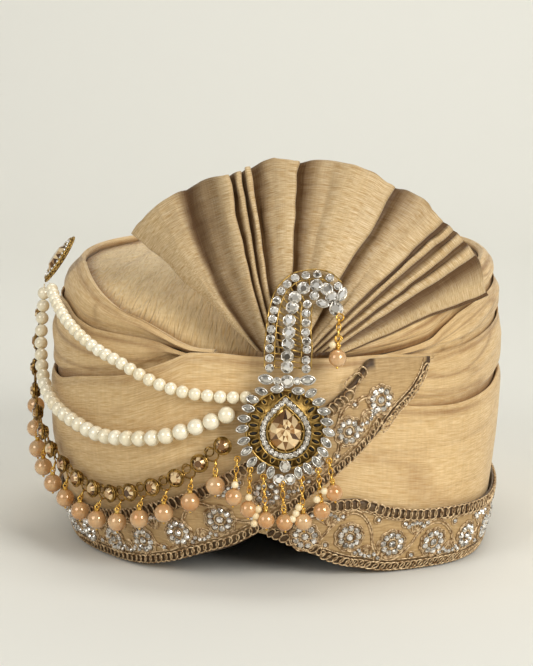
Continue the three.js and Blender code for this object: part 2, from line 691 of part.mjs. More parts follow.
// Ribbon and looped trims follow the lower wrap's lower edge.
function bandOnWrap(name, from, to, lowAt, highAt, lift, thickness, finish) {
  const sections = columns(from, to).map((turn) => {
    const { out } = lowerWrapAt(turn);
    const low = lowAt(turn);
    const high = highAt(turn);
    const middle = (low + high) / 2;
    const inner = out + lift;
    const outer = inner + thickness;
    const face = [[low, outer], [middle, outer], [high, outer]];
    const section = [...face, [high, inner], [middle, inner], [low, inner]];
    return section.map(([z, offset]) => bodyPoint(turn, z, offset));
  });
  addPiece(name, loft(sections, false), finish);
}

function border() {
  const first = 6;
  const last = 405.6;
  const edgeLift = 0.8;
  const borderLow = (turn) => lowerWrapAt(turn).low + edgeLift;
  const borderTop = (turn) => valueAt(BORDER_TOP, "turn", turn, "z");
  const slope = (turn) => (turn > 355 ? 1.2 : 1);
  const trimLift = RIBBON_LIFT + RIBBON_THICKNESS + 0.4;
  bandOnWrap("border_band", first, last, borderLow, borderTop, RIBBON_LIFT, RIBBON_THICKNESS, SATIN);
  const lowerTop = (turn) => Math.min(borderLow(turn) + TRIM_HEIGHT * slope(turn), borderTop(turn) - 1);
  bandOnWrap("border_trim_lower", first, 402, borderLow, lowerTop, trimLift, TRIM_THICKNESS, CORD);
  const upperLow = (turn) => borderTop(turn) - TRIM_HEIGHT * slope(turn);
  bandOnWrap("border_trim_upper", 15, 387.5, upperLow, borderTop, trimLift, TRIM_THICKNESS, CORD);
}

// How late along its length a fold line swings over from its base angle to its rim angle
function foldSwing(rim) {
  const share = THREE.MathUtils.smoothstep(rim, SWING_FROM, SWING_TO);
  return THREE.MathUtils.lerp(EARLY_SWING, LATE_SWING, share);
}

// The pleats stand higher towards the rim.
function foldGrowth(along) {
  return 0.4 + 0.6 * along;
}

// Pleated cloth: a closed sheet whose height over its smooth form jumps at each fold line
function fanPoint(angle, along, height) {
  const reach = valueAt(FAN_RIM, "angle", angle, "reach");
  const back = valueAt(FAN_RIM, "angle", angle, "back");
  const radians = THREE.MathUtils.degToRad(angle);
  const start = Math.min(FAN_START / Math.sin(radians), FAN_START_LIMIT);
  const distance = start + (reach - start) * along;
  const share = distance / reach;
  const bend = 1.05 + 0.35 * Math.abs(Math.cos(radians));
  const lean = back * share ** bend;
  const fold = height * foldGrowth(along);
  return new THREE.Vector3(
    FAN_BASE.x + distance * Math.cos(radians),
    FAN_BASE.y - 0.8 + lean - 0.9 * fold,
    FAN_BASE.z + distance * Math.sin(radians) + 0.35 * fold,
  );
}

function fan() {
  const lines = [];
  for (const fold of FAN_FOLDS) {
    if (fold.before === fold.after) {
      lines.push({ rim: fold.rim, base: fold.base, height: fold.before });
    } else {
      lines.push({ rim: fold.rim + FOLD_SPLIT, base: fold.base + FOLD_SPLIT, height: fold.before });
      lines.push({ rim: fold.rim - FOLD_SPLIT, base: fold.base - FOLD_SPLIT, height: fold.after });
    }
  }
  const sections = lines.map(({ rim, base, height }) => {
    const angleAt = (along) => base + (rim - base) * along ** foldSwing(rim);
    const at = (along, depth) => fanPoint(angleAt(along), along, height - depth);
    const front = FAN_ROWS.map((along) => at(along, 0));
    const back = [...FAN_ROWS].reverse().map((along) => at(along, FAN_THICKNESS / foldGrowth(along)));
    return [...front, ...back];
  });
  addPiece("fan", loft(sections, false), FAN_CLOTH);
}

// Smooth route on the body form, as a curve
function route(rows) {
  return new THREE.CatmullRomCurve3(rows.map(({ azimuth, z, offset }) => bodyPoint(azimuth, z, offset)));
}

// Beads joined along their thread: a six-sided section that swells at every bead
function strand(name, rows, sizeAt) {
  const curve = route(rows);
  const length = curve.getLength();
  const places = [];
  let at = (BEAD_LENGTH * sizeAt(0)) / 2;
  while (at + (BEAD_LENGTH * sizeAt(at / length)) / 2 < length) {
    places.push({ at, size: sizeAt(at / length) });
    at += sizeAt(at / length) * BEAD_LENGTH;
  }
  const stations = [];
  const sides = 6;
  for (const { at: middle, size } of places) {
    const half = size / 2;
    const reach = 0.97 * BEAD_LENGTH * half;
    stations.push([middle - reach, 0.3 * half], [middle - 0.55 * reach, 0.88 * half]);
    stations.push([middle + 0.55 * reach, 0.88 * half], [middle + reach, 0.3 * half]);
  }
  const sections = stations.map(([distance, radius]) => {
    const t = THREE.MathUtils.clamp(distance / length, 0, 1);
    const centre = curve.getPointAt(t);
    const tangent = curve.getTangentAt(t);
    const side = new THREE.Vector3(0, 0, 1).cross(tangent).normalize();
    const up = tangent.clone().cross(side);
    return Array.from({ length: sides }, (unused, i) => {
      const angle = ((i + 0.5) * 2 * Math.PI) / sides;
      return centre
        .clone()
        .addScaledVector(side, radius * Math.cos(angle))
        .addScaledVector(up, radius * Math.sin(angle));
    });
  });
  addPiece(name, loft(sections, false), CREAM_PEARL);
}

function lathePiece(profile, sides) {
  return new THREE.LatheGeometry(profile.map(([radius, z]) => new THREE.Vector2(radius, z)), sides);
}

// Pearl with its pin: the lathe turns about +Y, so it is stood up along +Z.
function pearlDrop(pearl, pin, sides) {
  const r = pearl / 2;
  const wire = 0.7;
  const profile = [
    [0, -pin - 2 * r],
    [0.72 * r, -pin - 1.7 * r],
    [r, -pin - r],
    [0.72 * r, -pin - 0.3 * r],
    [wire, -pin],
    [wire, 0],
    [0, 0],
  ];
  return lathePiece(profile, sides).rotateX(Math.PI / 2);
}

// Stone cups linked in a row: a flat section, wide at each cup and narrow at each link
function stoneChain() {
  const curve = route(STONE_CHAIN);
  const length = curve.getLength();
  const count = Math.floor((length - CHAIN_START - CUP_DIAMETER) / CUP_PITCH) + 1;
  const frames = [];
  const frameAt = (distance) => {
    const t = THREE.MathUtils.clamp(distance / length, 0, 1);
    const centre = curve.getPointAt(t);
    const along = curve.getTangentAt(t);
    const flat = new THREE.Vector3(centre.x, centre.y, 0).normalize();
    const across = along.clone().cross(flat).normalize();
    return { centre, along, across, normal: across.clone().cross(along).normalize() };
  };
  const stations = [];
  for (let i = 0; i < count; i += 1) {
    const middle = CHAIN_START + CUP_DIAMETER / 2 + i * CUP_PITCH;
    const half = CUP_DIAMETER / 2;
    if (i > 0) frames.push(frameAt(middle - CUP_PITCH / 2));
    stations.push([middle - half, 1.1, 1], [middle - 0.55 * half, 0.92 * half, CUP_THICKNESS / 2]);
    stations.push([middle + 0.55 * half, 0.92 * half, CUP_THICKNESS / 2], [middle + half, 1.1, 1]);
  }
  const sections = stations.map(([distance, width, depth]) => {
    const { centre, across, normal } = frameAt(distance);
    return [[1, 1], [-1, 1], [-1, -1], [1, -1]].map(([i, j]) =>
      centre.clone().addScaledVector(across, i * width).addScaledVector(normal, j * depth),
    );
  });
  addPiece("stone_chain", loft(sections, false), OLD_GOLD);
  return frames;
}

// The drops hang from the links between the cups; where the chain is steep they hang beside it.
function chainDrops(frames) {
  const pearl = pearlDrop(DROP_PEARL, DROP_HANG - DROP_PEARL, 7);
  frames.slice(0, -2).forEach((frame, i) => {
    const name = `chain_drop_${String(i + 1).padStart(2, "0")}`;
    const drop = addPiece(name, pearl, PEACH_PEARL);
    const steep = Math.abs(frame.along.z);
    const aside = DROP_GAP + 7.6 * steep ** 3;
    const proud = 3.8 - 5.8 * steep * Math.abs(frame.normal.x);
    drop.position.copy(frame.centre).addScaledVector(frame.across, -aside);
    drop.position.addScaledVector(frame.normal, proud);
  });
}

// Group that carries flat jewellery: u, v and depth become x, z and -y, turned to face outward
function jewelPlane({ x, y, z, turn, tilt }) {
  const group = new THREE.Group();
  group.position.set(x, y, z);
  group.rotation.order = "ZXY";
  group.rotation.z = THREE.MathUtils.degToRad(turn);
  group.rotation.x = THREE.MathUtils.degToRad(-tilt);
  pagri.add(group);
  return group;
}

function plateOf(shape, thickness, curveSegments = 6) {
  const settings = { depth: thickness, bevelEnabled: false, curveSegments, steps: 1 };
  return new THREE.ExtrudeGeometry(shape, settings);
}

// Stands a piece drawn in x and y up into the plane of the jewel, its front towards -Y
function upright(geometry) {
  return geometry.rotateX(Math.PI / 2);
}

function petal(radius, angle) {
  const radians = THREE.MathUtils.degToRad(angle);
  const shape = new THREE.Shape();
  shape.moveTo(-PETAL_LENGTH / 2, 0);
  shape.lineTo(0, -PETAL_WIDTH / 2);
  shape.lineTo(PETAL_LENGTH / 2, 0);
  shape.lineTo(0, PETAL_WIDTH / 2);
  const geometry = plateOf(shape, PLATE_THICKNESS + PETAL_LIFT);
  geometry.rotateZ(radians);
  geometry.translate(radius * Math.cos(radians), radius * Math.sin(radians), 0);
  return geometry;
}

function pearOutline(left, right, top, bottom) {
  const shape = new THREE.Shape();
  shape.moveTo(0, top);
  shape.bezierCurveTo(0.55 * right, 0.62 * top, right, 0.3 * top, right, 0.12 * bottom);
  shape.bezierCurveTo(right, 0.68 * bottom, 0.55 * right, bottom, 0, bottom);
  shape.bezierCurveTo(0.55 * left, bottom, left, 0.68 * bottom, left, 0.12 * bottom);
  shape.bezierCurveTo(left, 0.3 * top, 0.55 * left, 0.62 * top, 0, top);
  return shape;
}

// The plume bends back to lie along the fan.
function bendBack(geometry) {
  const positions = geometry.attributes.position;
  for (let i = 0; i < positions.count; i += 1) {
    const above = Math.max(0, positions.getZ(i) - PLUME_BEND_START);
    const back = PLUME_BEND * above * above;
    positions.setY(i, positions.getY(i) + back);
    positions.setZ(i, positions.getZ(i) - PLUME_SINK * back);
  }
  return geometry;
}

function plume(thickness) {
  const sections = PLUME.map(({ outerU, outerV, innerU, innerV }) => [
    new THREE.Vector3(outerU, outerV, 0),
    new THREE.Vector3(outerU, outerV, thickness),
    new THREE.Vector3(innerU, innerV, thickness),
    new THREE.Vector3(innerU, innerV, 0),
  ]);
  return loft(sections, false);
}

// Disc with a circle of slots, which carries the petals
function slottedRing() {
  const shape = new THREE.Shape();
  shape.absarc(0, RING_CENTRE_V, RING_RADIUS, 0, 2 * Math.PI);
  for (let i = 0; i < SLOTS.count; i += 1) {
    const angle = ((i + 0.5) * 2 * Math.PI) / SLOTS.count;
    const reach = (r, turn) => [r * Math.cos(angle + turn), RING_CENTRE_V + r * Math.sin(angle + turn)];
    const inner = Math.sin(angle) > 0.6 ? SLOTS.innerAtTop : SLOTS.inner;
    const hole = new THREE.Path();
    hole.moveTo(...reach(inner, -SLOTS.halfAngle));
    hole.lineTo(...reach(inner, SLOTS.halfAngle));
    hole.lineTo(...reach(SLOTS.outer, SLOTS.halfAngle));
    hole.lineTo(...reach(SLOTS.outer, -SLOTS.halfAngle));
    shape.holes.push(hole);
  }
  return plateOf(shape, PLATE_THICKNESS, 15);
}

function brooch() {
  const plane = jewelPlane(BROOCH);
  const pieces = [];
  const halo = pearOutline(-HALO_OUTER.x, HALO_OUTER.x, HALO_OUTER.top, HALO_OUTER.bottom);
  pieces.push(plateOf(halo, PLATE_THICKNESS + 1));
  pieces.push(slottedRing());
  for (const { radius, angle } of PETALS) pieces.push(petal(radius, angle));
  for (let i = 0; i < SIDE_PETALS; i += 1) {
    const angle = SIDE_PETAL_FIRST + i * SIDE_PETAL_STEP;
    pieces.push(petal(PETAL_RING_RADIUS, angle), petal(PETAL_RING_RADIUS, 180 - angle));
  }
  pieces.push(plume(PLATE_THICKNESS + 0.8));
  const setting = pearOutline(PEAR.left - 0.4, PEAR.right + 0.4, PEAR.top + 0.6, PEAR.bottom - 0.5);
  const seat = plateOf(setting, 3).translate(0, 0, PLATE_THICKNESS);
  const solid = joined(pieces).subtract(toSolid(seat));
  const frame = bendBack(upright(toGeometry(solid)));
  addPiece("brooch_frame", frame, OLD_GOLD, plane);
  pearStone(plane);
  tassels(plane);
  hookDrop(plane);
}

// Cut stone: like outlines at three depths, with a flat table in front and a flat back
function cutStone(outline, levels) {
  const positions = [];
  for (const { depth, size } of levels) {
    for (const p of outline) positions.push(size * p.x, size * p.y, depth);
  }
  const count = outline.length;
  const index = [];
  for (let level = 0; level < levels.length - 1; level += 1) {
    for (let i = 0; i < count; i += 1) {
      const a = level * count + i;
      const b = level * count + ((i + 1) % count);
      index.push(a, b, b + count, a, b + count, a + count);
    }
  }
  const front = (levels.length - 1) * count;
  for (let i = 1; i < count - 1; i += 1) {
    index.push(0, i + 1, i, front, front + i, front + i + 1);
  }
  return upright(outward(positions, index));
}

function pearStone(plane) {
  const outline = pearOutline(PEAR.left, PEAR.right, PEAR.top, PEAR.bottom).getSpacedPoints(16).slice(0, 16);
  const levels = [
    { depth: PLATE_THICKNESS + 0.3, size: 0.8 },
    { depth: PLATE_THICKNESS + 1.6, size: 1 },
    { depth: PLATE_THICKNESS + 3.4, size: 0.6 },
  ];
  addPiece("pear_stone", cutStone(outline, levels), CHAMPAGNE_STONE, plane);
}

function tassels(plane) {
  const front = -2.4;
  TASSELS.forEach(({ u, v, pearlU, pearlV }, i) => {
    const hang = v - pearlV - TASSEL_PEARL / 2;
    const pearl = toSolid(pearlDrop(TASSEL_PEARL, hang, 8));
    const r = SMALL_PEARL / 2;
    const profile = [[0, -r], [0.8 * r, -0.6 * r], [r, 0], [0.8 * r, 0.6 * r], [0, r]];
    const small = lathePiece(profile, 6).rotateX(Math.PI / 2).translate(0, 0, -hang + 1.1 * r);
    const solid = toGeometry(pearl.add(toSolid(small)));
    const tassel = addPiece(`tassel_${i + 1}`, solid, PEACH_PEARL, plane);
    tassel.position.set(u, front, v - 1.2);
    tassel.rotation.y = Math.atan2(u - pearlU, v - pearlV);
  });
}

function hookDrop(plane) {
  const { u, v, pearlV, pearl } = HOOK_DROP;
  const above = v - PLUME_BEND_START;
  const drop = addPiece("hook_drop", pearlDrop(pearl, v - pearlV - pearl / 2, 8), PEACH_PEARL, plane);
  drop.position.set(u, PLUME_BEND * above * above - 1.8, v);
}

function ovalShape(halfWidth, halfHeight) {
  const shape = new THREE.Shape();
  shape.absellipse(0, 0, halfWidth, halfHeight, 0, 2 * Math.PI);
  return shape;
}

// Small oval brooch: a scalloped back plate and a raised ring that hold one oval stone
function sideBrooch() {
  const plane = jewelPlane(SIDE_BROOCH);
  const points = [];
  for (let i = 0; i < 2 * SIDE_PLATE.scallops; i += 1) {
    const angle = (i * Math.PI) / SIDE_PLATE.scallops;
    const size = i % 2 === 0 ? 1 : 1 - SIDE_PLATE.scallopDepth;
    const x = SIDE_PLATE.halfWidth * size * Math.cos(angle);
    points.push(new THREE.Vector2(x, SIDE_PLATE.halfHeight * size * Math.sin(angle)));
  }
  const plate = plateOf(new THREE.Shape(points), SIDE_PLATE.thickness);
  const ring = plateOf(ovalShape(SIDE_RING.halfWidth, SIDE_RING.halfHeight), SIDE_RING.thickness);
  const seatShape = ovalShape(SIDE_STONE.halfWidth + SIDE_STONE.gap, SIDE_STONE.halfHeight + SIDE_STONE.gap);
  const seat = plateOf(seatShape, SIDE_RING.thickness).translate(0, 0, SIDE_PLATE.thickness - 0.2);
  const frame = joined([plate, ring]).subtract(toSolid(seat));
  addPiece("side_brooch_frame", upright(toGeometry(frame)), OLD_GOLD, plane);
  const levels = [
    { depth: SIDE_PLATE.thickness + 0.2, size: 0.8 },
    { depth: SIDE_PLATE.thickness + 1.2, size: 1 },
    { depth: SIDE_PLATE.thickness + 3.2, size: 0.62 },
  ];
  const outline = ovalShape(SIDE_STONE.halfWidth, SIDE_STONE.halfHeight).getSpacedPoints(14).slice(0, 14);
  addPiece("side_brooch_stone", cutStone(outline, levels), CHAMPAGNE_STONE, plane);
}

baseCap();
crown();
lowerWrap();
upperWrap("upper_wrap_1", UPPER_WRAP_1, LOWER_WRAP, 360);
upperWrap("upper_wrap_2", UPPER_WRAP_2, UPPER_WRAP_1, 240);
upperWrap("upper_wrap_3", UPPER_WRAP_3, UPPER_WRAP_2, 0);
fan();
border();
strand("pearl_strand_upper", UPPER_STRAND, () => UPPER_BEAD);
strand("pearl_strand_lower", LOWER_STRAND, (t) => LOWER_BEAD - LOWER_BEAD_TAPER * t);
chainDrops(stoneChain());
brooch();
sideBrooch();

export default pagri;
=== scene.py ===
"""A ready-tied ceremonial turban dressed over its frame. The face looks towards -Y, +Z is up.

Lengths are in millimetres until a mesh is made, and then in metres.
Azimuths are degrees from the front, positive towards +X, and offsets are measured outward from the body form.
"""
import math

import bpy
import numpy as np
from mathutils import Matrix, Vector


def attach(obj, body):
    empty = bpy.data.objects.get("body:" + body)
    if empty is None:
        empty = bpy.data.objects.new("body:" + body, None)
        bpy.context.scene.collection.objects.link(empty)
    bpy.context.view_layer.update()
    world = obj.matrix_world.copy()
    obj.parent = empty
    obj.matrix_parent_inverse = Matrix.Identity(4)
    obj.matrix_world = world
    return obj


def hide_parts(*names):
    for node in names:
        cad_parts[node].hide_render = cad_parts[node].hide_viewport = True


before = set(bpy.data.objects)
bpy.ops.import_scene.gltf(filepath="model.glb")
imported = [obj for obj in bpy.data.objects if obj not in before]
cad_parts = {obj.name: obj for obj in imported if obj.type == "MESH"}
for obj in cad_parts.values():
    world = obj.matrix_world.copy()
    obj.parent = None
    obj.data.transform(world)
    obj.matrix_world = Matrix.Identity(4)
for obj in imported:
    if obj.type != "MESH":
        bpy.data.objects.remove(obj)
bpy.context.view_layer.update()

SHIFT = np.array([7.6, 9.4, 0.0])
MM = 0.001
TAU = 2 * math.pi
# Length of the body's outline for each degree of turn, and the step of turn between sections of cloth
DEGREE_RUN = 2.16
WRAP_STEP = 0.75

# The body form: z, left, right, front, back, and how far its left and right sides lie forward
BODY = [
    (0, -102, 104.5, -131, 131, 20, 45),
    (25, -110, 110, -135, 134, 20, 42),
    (60, -119, 113, -138, 137, 9, 14),
    (95, -121, 113.5, -137, 138, 0, 0),
    (120, -118, 112, -132, 135, 0, 0),
    (137, -110, 107, -122, 129, 0, 0),
    (145, -102, 100, -112, 121, 0, 0),
]
PLAN_ROUNDNESS = 2.12
# Lower wrap: turn, low, high, out, inside
LOWER_WRAP = [
    (-15, 24, 86, -0.2, -6.6),
    (3.5, 21.8, 86, -0.2, -6.6),
    (15, 13, 86, 0, -6.6),
    (25, 5, 86, 0, -6.6),
    (30, 2.4, 84.5, 0, -6.6),
    (35, 0.6, 83, 0, -6.6),
    (40, 0, 81.2, 0, -6.6),
    (46, 0, 79.2, 0, -6.6),
    (60, 0, 76.7, 0, -6.6),
    (77, 0, 78, 0, -6.6),
    (90, 0, 80.5, 0, -6.6),
    (180, 0, 83, 0, -6.6),
    (300, 0, 83.8, 0, -6.6),
    (315, 0, 89.2, 0, -6.6),
    (324, 0, 92.2, 0.8, -6.6),
    (332, 1.2, 95, 2, -6.6),
    (340, 4.6, 100.6, 3.2, -5),
    (345, 8, 105, 3.6, 0.6),
    (350, 11.4, 109, 3.6, 0.6),
    (356, 15, 109.3, 3.6, 0.6),
    (362.5, 21.5, 108.4, 3.6, 0.6),
    (384.6, 54.4, 107, 3.6, 0.6),
    (390.4, 65.8, 107.2, 3.6, 0.6),
    (394.9, 76, 107, 3.6, 0.6),
    (399.5, 84.4, 106, 3.6, 0.6),
    (402.5, 92, 105.4, 3.6, 0.6),
    (405, 100.4, 104.8, 3.6, 0.6),
    (407.5, 102.2, 104, 3.6, 0.6),
]
# Narrow wraps: turn, low, high
UPPER_WRAP_1 = [
    (25, 86.6, 101),
    (35, 83.6, 102.5),
    (46, 79.8, 103.2),
    (60, 77.3, 104.6),
    (77, 78.6, 107.7),
    (90, 81.1, 110),
    (135, 82.4, 114),
    (180, 83.6, 118),
    (225, 84, 120.5),
    (270, 84.2, 122.5),
    (300, 84.4, 121.5),
    (311, 88.2, 116.3),
    (320, 91.6, 113.8),
    (334, 97, 113.1),
    (340, 101.2, 112),
    (345, 105.6, 109),
    (350, 103.4, 106.8),
]
UPPER_WRAP_2 = [
    (25, 101.6, 104.6),
    (35, 103.1, 106.2),
    (48, 103.9, 110.3),
    (53, 104.6, 115.4),
    (60, 105.2, 120.8),
    (68, 106.6, 123.3),
    (90, 110.6, 127),
    (135, 114.6, 131),
    (180, 118.6, 134),
    (225, 121.1, 138.2),
    (247, 122.3, 139.6),
    (270, 122.6, 140.2),
    (294, 122.4, 139.8),
    (300, 122.1, 138.5),
    (308, 118.9, 135.2),
    (318.5, 114.8, 129.5),
    (327, 114, 124.7),
    (334.5, 113.7, 121.5),
    (341, 112, 116.7),
    (346, 109.4, 112.4),
    (350, 107.6, 110.4),
    (355, 107.3, 109.9),
]
UPPER_WRAP_3 = [
    (25, 105.2, 110.5),
    (35, 106.8, 114.5),
    (48, 110.9, 122),
    (53, 116, 126),
    (60, 121.4, 130.5),
    (68, 123.9, 135),
    (77, 125.4, 138.5),
    (90, 127.6, 140.5),
    (135, 131.6, 141.5),
    (180, 134.6, 142),
    (225, 138.8, 141.8),
    (232.5, 139, 141.4),
]
# Top hem of the wraps: azimuth, z
HEM = [
    (-180, 142),
    (-127.5, 141.4),
    (-113, 139.6),
    (-90, 140.2),
    (-66, 139.8),
    (-52, 135.2),
    (-41.5, 129.5),
    (-33, 124.7),
    (-25.5, 121.5),
    (-19, 116.7),
    (-14, 112.4),
    (-8, 109.6),
    (10, 108.6),
    (25, 110.5),
    (35, 114.5),
    (48, 122),
    (53, 126),
    (60, 130.5),
    (68, 135),
    (77, 138.5),
    (90, 140.5),
    (135, 141.5),
    (180, 142),
]
# Rim of the base, arched over the brow: azimuth, z
BASE_RIM = [
    (-180, 0),
    (-40, 0),
    (-30, 1.5),
    (-20, 5.5),
    (-10, 12),
    (0, 19.5),
    (3.5, 22.6),
    (15, 14.5),
    (25, 6.5),
    (35, 1.2),
    (40, 0),
    (180, 0),
]
# Upper edge of the ribbon: turn, z
BORDER_TOP = [
    (6, 23),
    (10, 27.4),
    (15, 32.8),
    (20, 38.6),
    (27, 39),
    (36, 33.5),
    (45, 30.6),
    (60, 29.6),
    (90, 28.5),
    (270, 27),
    (300, 24.5),
    (320, 25.4),
    (331, 29.6),
    (342, 37.4),
    (350, 43.5),
    (357.4, 52),
    (382, 87.6),
    (387.4, 98.8),
    (390, 106),
    (407.5, 103.7),
]
CROWN_TOP = 138
CROWN_THICKNESS = 1.4
CROWN_RIM_OFFSET = -7.2
CROWN_FLATNESS = 3.2
BASE_OFFSET = -8.6
HEAD_HOLLOW_OFFSET = -24
RIM_HOLLOW_OFFSET = -18
# Fan: base point, rim by angle (angle, reach, back) and folds (rim, base, height before, height after)
FAN_BASE = (21.9, -141.8, 98.0)
FAN_RIM = [
    (20, 94, 83),
    (32, 97.5, 72),
    (45, 97.5, 60),
    (60, 98.5, 50),
    (90, 99, 44),
    (110, 98, 45),
    (125, 100.7, 51),
    (146, 105, 62),
]
FAN_FOLDS = [
    (146, 141, 2, 2),
    (137, 140.2, 6, 6),
    (129.5, 139, 4.5, 4.5),
    (124.8, 137, 0, 0),
    (117, 130, 3.5, 3.5),
    (110.6, 121, 7, 2),
    (107.3, 114, 6, 2),
    (103.9, 106, 7, 1.5),
    (97, 99, 5.5, 5.5),
    (90, 90, 6.5, 0.5),
    (81, 82, 2, 2),
    (74, 77, 6, 6),
    (61.4, 67, 5.5, 0),
    (52, 58, 4, 4),
    (44.4, 52, 7.5, 2.5),
    (40.6, 45, 7, 2.5),
    (36.4, 38, 7, 2.5),
    (31, 32.5, 7.5, 1.5),
    (20.2, 25, 2, 0),
]


def smooth(rows, column):
    """Vectorised value of a table's column over its first one, its slopes smoothed as in the frame."""
    at = np.array([r[0] for r in rows], float)
    y = np.array([r[column] for r in rows], float)
    step = np.diff(at)
    slope = np.diff(y) / step
    m = np.empty_like(y)
    m[0], m[-1] = slope[0], slope[-1]
    product = slope[:-1] * slope[1:]
    total = slope[:-1] + slope[1:]
    safe = np.where(np.abs(total) < 1e-12, 1, total)
    m[1:-1] = np.where(product <= 0, 0, 2 * product / safe)

    def value(x):
        x = np.clip(np.asarray(x, float), at[0], at[-1])
        i = np.clip(np.searchsorted(at, x, side="right") - 1, 0, len(step) - 1)
        t = (x - at[i]) / step[i]
        t2, t3 = t * t, t * t * t
        a = (2 * t3 - 3 * t2 + 1) * y[i] + (t3 - 2 * t2 + t) * m[i] * step[i]
        b = (3 * t2 - 2 * t3) * y[i + 1] + (t3 - t2) * m[i + 1] * step[i]
        return a + b

    return value


BODY_AT = [smooth(BODY, k) for k in range(1, 7)]
HEM_AT = smooth(HEM, 1)
BASE_RIM_AT = smooth(BASE_RIM, 1)
BORDER_TOP_AT = smooth(BORDER_TOP, 1)
LOWER_AT = [smooth(LOWER_WRAP, k) for k in (1, 2, 3, 4)]


def outline(azimuth, z):
    """Plan of the body form at a height: a rounded oval, drawn forward at its sides."""
    left, right, front, back, forward_left, forward_right = (f(z) for f in BODY_AT)
    s, c = np.sin(np.radians(azimuth)), np.cos(np.radians(azimuth))
    n = PLAN_ROUNDNESS
    k = (np.abs(s) ** n + np.abs(c) ** n) ** (-1 / n)
    forward = np.where(s > 0, forward_right, forward_left)
    x = (left + right) / 2 + (right - left) / 2 * k * s
    return x, (front + back) / 2 - (back - front) / 2 * k * c - forward * s**4


def body(azimuth, z, offset):
    """Points at an offset from the body form, and the outward directions there."""
    azimuth, z, offset = np.broadcast_arrays(*(np.asarray(v, float) for v in (azimuth, z, offset)))
    x, y = outline(azimuth, z)
    x0, y0 = outline(azimuth - 0.5, z)
    x1, y1 = outline(azimuth + 0.5, z)
    length = np.hypot(x1 - x0, y1 - y0)
    normal = np.stack([(y1 - y0) / length, (x0 - x1) / length, np.zeros_like(x)], -1)
    return np.stack([x, y, z], -1) + normal * offset[..., None], normal


def lattice(i, j, seed):
    h = np.sin(i * 127.1 + j * 311.7 + seed * 74.7) * 43758.5453
    return h - np.floor(h)


def noise(u, v, seed=0):
    """Smooth noise from -1 to 1."""
    i, j = np.floor(u), np.floor(v)
    fu, fv = u - i, v - j
    fu, fv = fu * fu * (3 - 2 * fu), fv * fv * (3 - 2 * fv)
    a = lattice(i, j, seed) * (1 - fu) + lattice(i + 1, j, seed) * fu
    b = lattice(i, j + 1, seed) * (1 - fu) + lattice(i + 1, j + 1, seed) * fu
    return 2 * (a * (1 - fv) + b * fv) - 1


def creases(u, v, seed=0, sharp=0.12):
    """Rounded folds with narrow valleys between them, from about -1 to 0.6."""
    n = noise(u, v, seed)
    return 1.6 * np.sqrt(n * n + sharp * sharp) - 1


def valley(u, v, seed=0, width=0.15):
    """1 in the valleys of creases() with the same coordinates and seed, fading to 0."""
    return np.exp(-((noise(u, v, seed) / width) ** 2))


def ease(t):
    t = np.clip(t, 0, 1)
    return t * t * (3 - 2 * t)


def run_along(line):
    """Distance of each point of a line from its start."""
    return np.r_[0, np.cumsum(np.linalg.norm(np.diff(line, axis=0), axis=1))]


def evenly(line, run, at):
    """Places on a line at some distances along it."""
    return np.stack([np.interp(at, run, line[:, k]) for k in range(line.shape[1])], -1)


def round_turns(count):
    return np.linspace(0, TAU, count, endpoint=False)


def out_and_back(front, back):
    """Section loops that go out along one face and come back along the other."""
    return np.concatenate([front, back[:, ::-1]], 1)


def new_mesh(name, points, faces, uv=None, smooth_shade=True, fold=None):
    """Object from points in millimetres; uv gives a coordinate pair and fold a depth of shade for each."""
    mesh = bpy.data.meshes.new(name)
    verts = (np.asarray(points, float) + SHIFT) * MM
    mesh.from_pydata(verts.tolist(), [], [list(map(int, f)) for f in faces])
    if uv is not None:
        layer = mesh.uv_layers.new(name="UVMap")
        loops = np.empty(len(mesh.loops), int)
        mesh.loops.foreach_get("vertex_index", loops)
        layer.data.foreach_set("uv", (np.asarray(uv, float)[loops] * MM * 10).ravel())
    if fold is not None:
        depth = mesh.attributes.new("fold", "FLOAT", "POINT")
        depth.data.foreach_set("value", np.asarray(fold, float).ravel())
    mesh.polygons.foreach_set("use_smooth", [smooth_shade] * len(mesh.polygons))
    mesh.update()
    obj = bpy.data.objects.new(name, mesh)
    bpy.context.scene.collection.objects.link(obj)
    return obj


def grid_faces(rows, columns, close_rows=False, close_columns=False, flip=False):
    """Quads of a grid whose points run along the columns first."""
    i = np.arange(rows if close_rows else rows - 1)
    j = np.arange(columns if close_columns else columns - 1)
    ii, jj = np.meshgrid(i, j, indexing="ij")
    i2, j2 = (ii + 1) % rows, (jj + 1) % columns
    order = [ii * columns + jj, i2 * columns + jj, i2 * columns + j2, ii * columns + j2]
    if flip:
        order.reverse()
    return np.stack(order, -1).reshape(-1, 4).tolist()


def dome_faces(rows, size):
    """Faces of a shell between two domes, whose centre points are its last two."""
    faces = grid_faces(rows, size, close_rows=True)
    count = rows * size
    for i in range(rows):
        j = (i + 1) % rows
        faces.append([count, j * size, i * size])
        faces.append([count + 1, i * size + size - 1, j * size + size - 1])
    return [f[::-1] for f in faces]


def swept(name, sections, uv, flip=False, fold=None):
    """Closed body from like closed sections (rows, points, 3), with ladder caps."""
    rows, size = sections.shape[:2]
    faces = grid_faces(rows, size, close_columns=True, flip=flip)
    for start, reverse in ((0, not flip), ((rows - 1) * size, flip)):
        for j in range(size // 2 - 1):
            quad = [start + j, start + j + 1, start + size - 2 - j, start + size - 1 - j]
            faces.append(quad[::-1] if reverse else quad)
    return new_mesh(name, sections.reshape(-1, 3), faces, uv.reshape(-1, 2), fold=fold)


# Materials


def nodes_of(name):
    material = bpy.data.materials.new(name)
    material.use_nodes = True
    tree = material.node_tree
    shader = tree.nodes["Principled BSDF"]
    return material, tree, shader


def settings(node, **values):
    """Sets a node's plain inputs, each named with _ for its spaces."""
    for name, value in values.items():
        node.inputs[name.replace("_", " ")].default_value = value


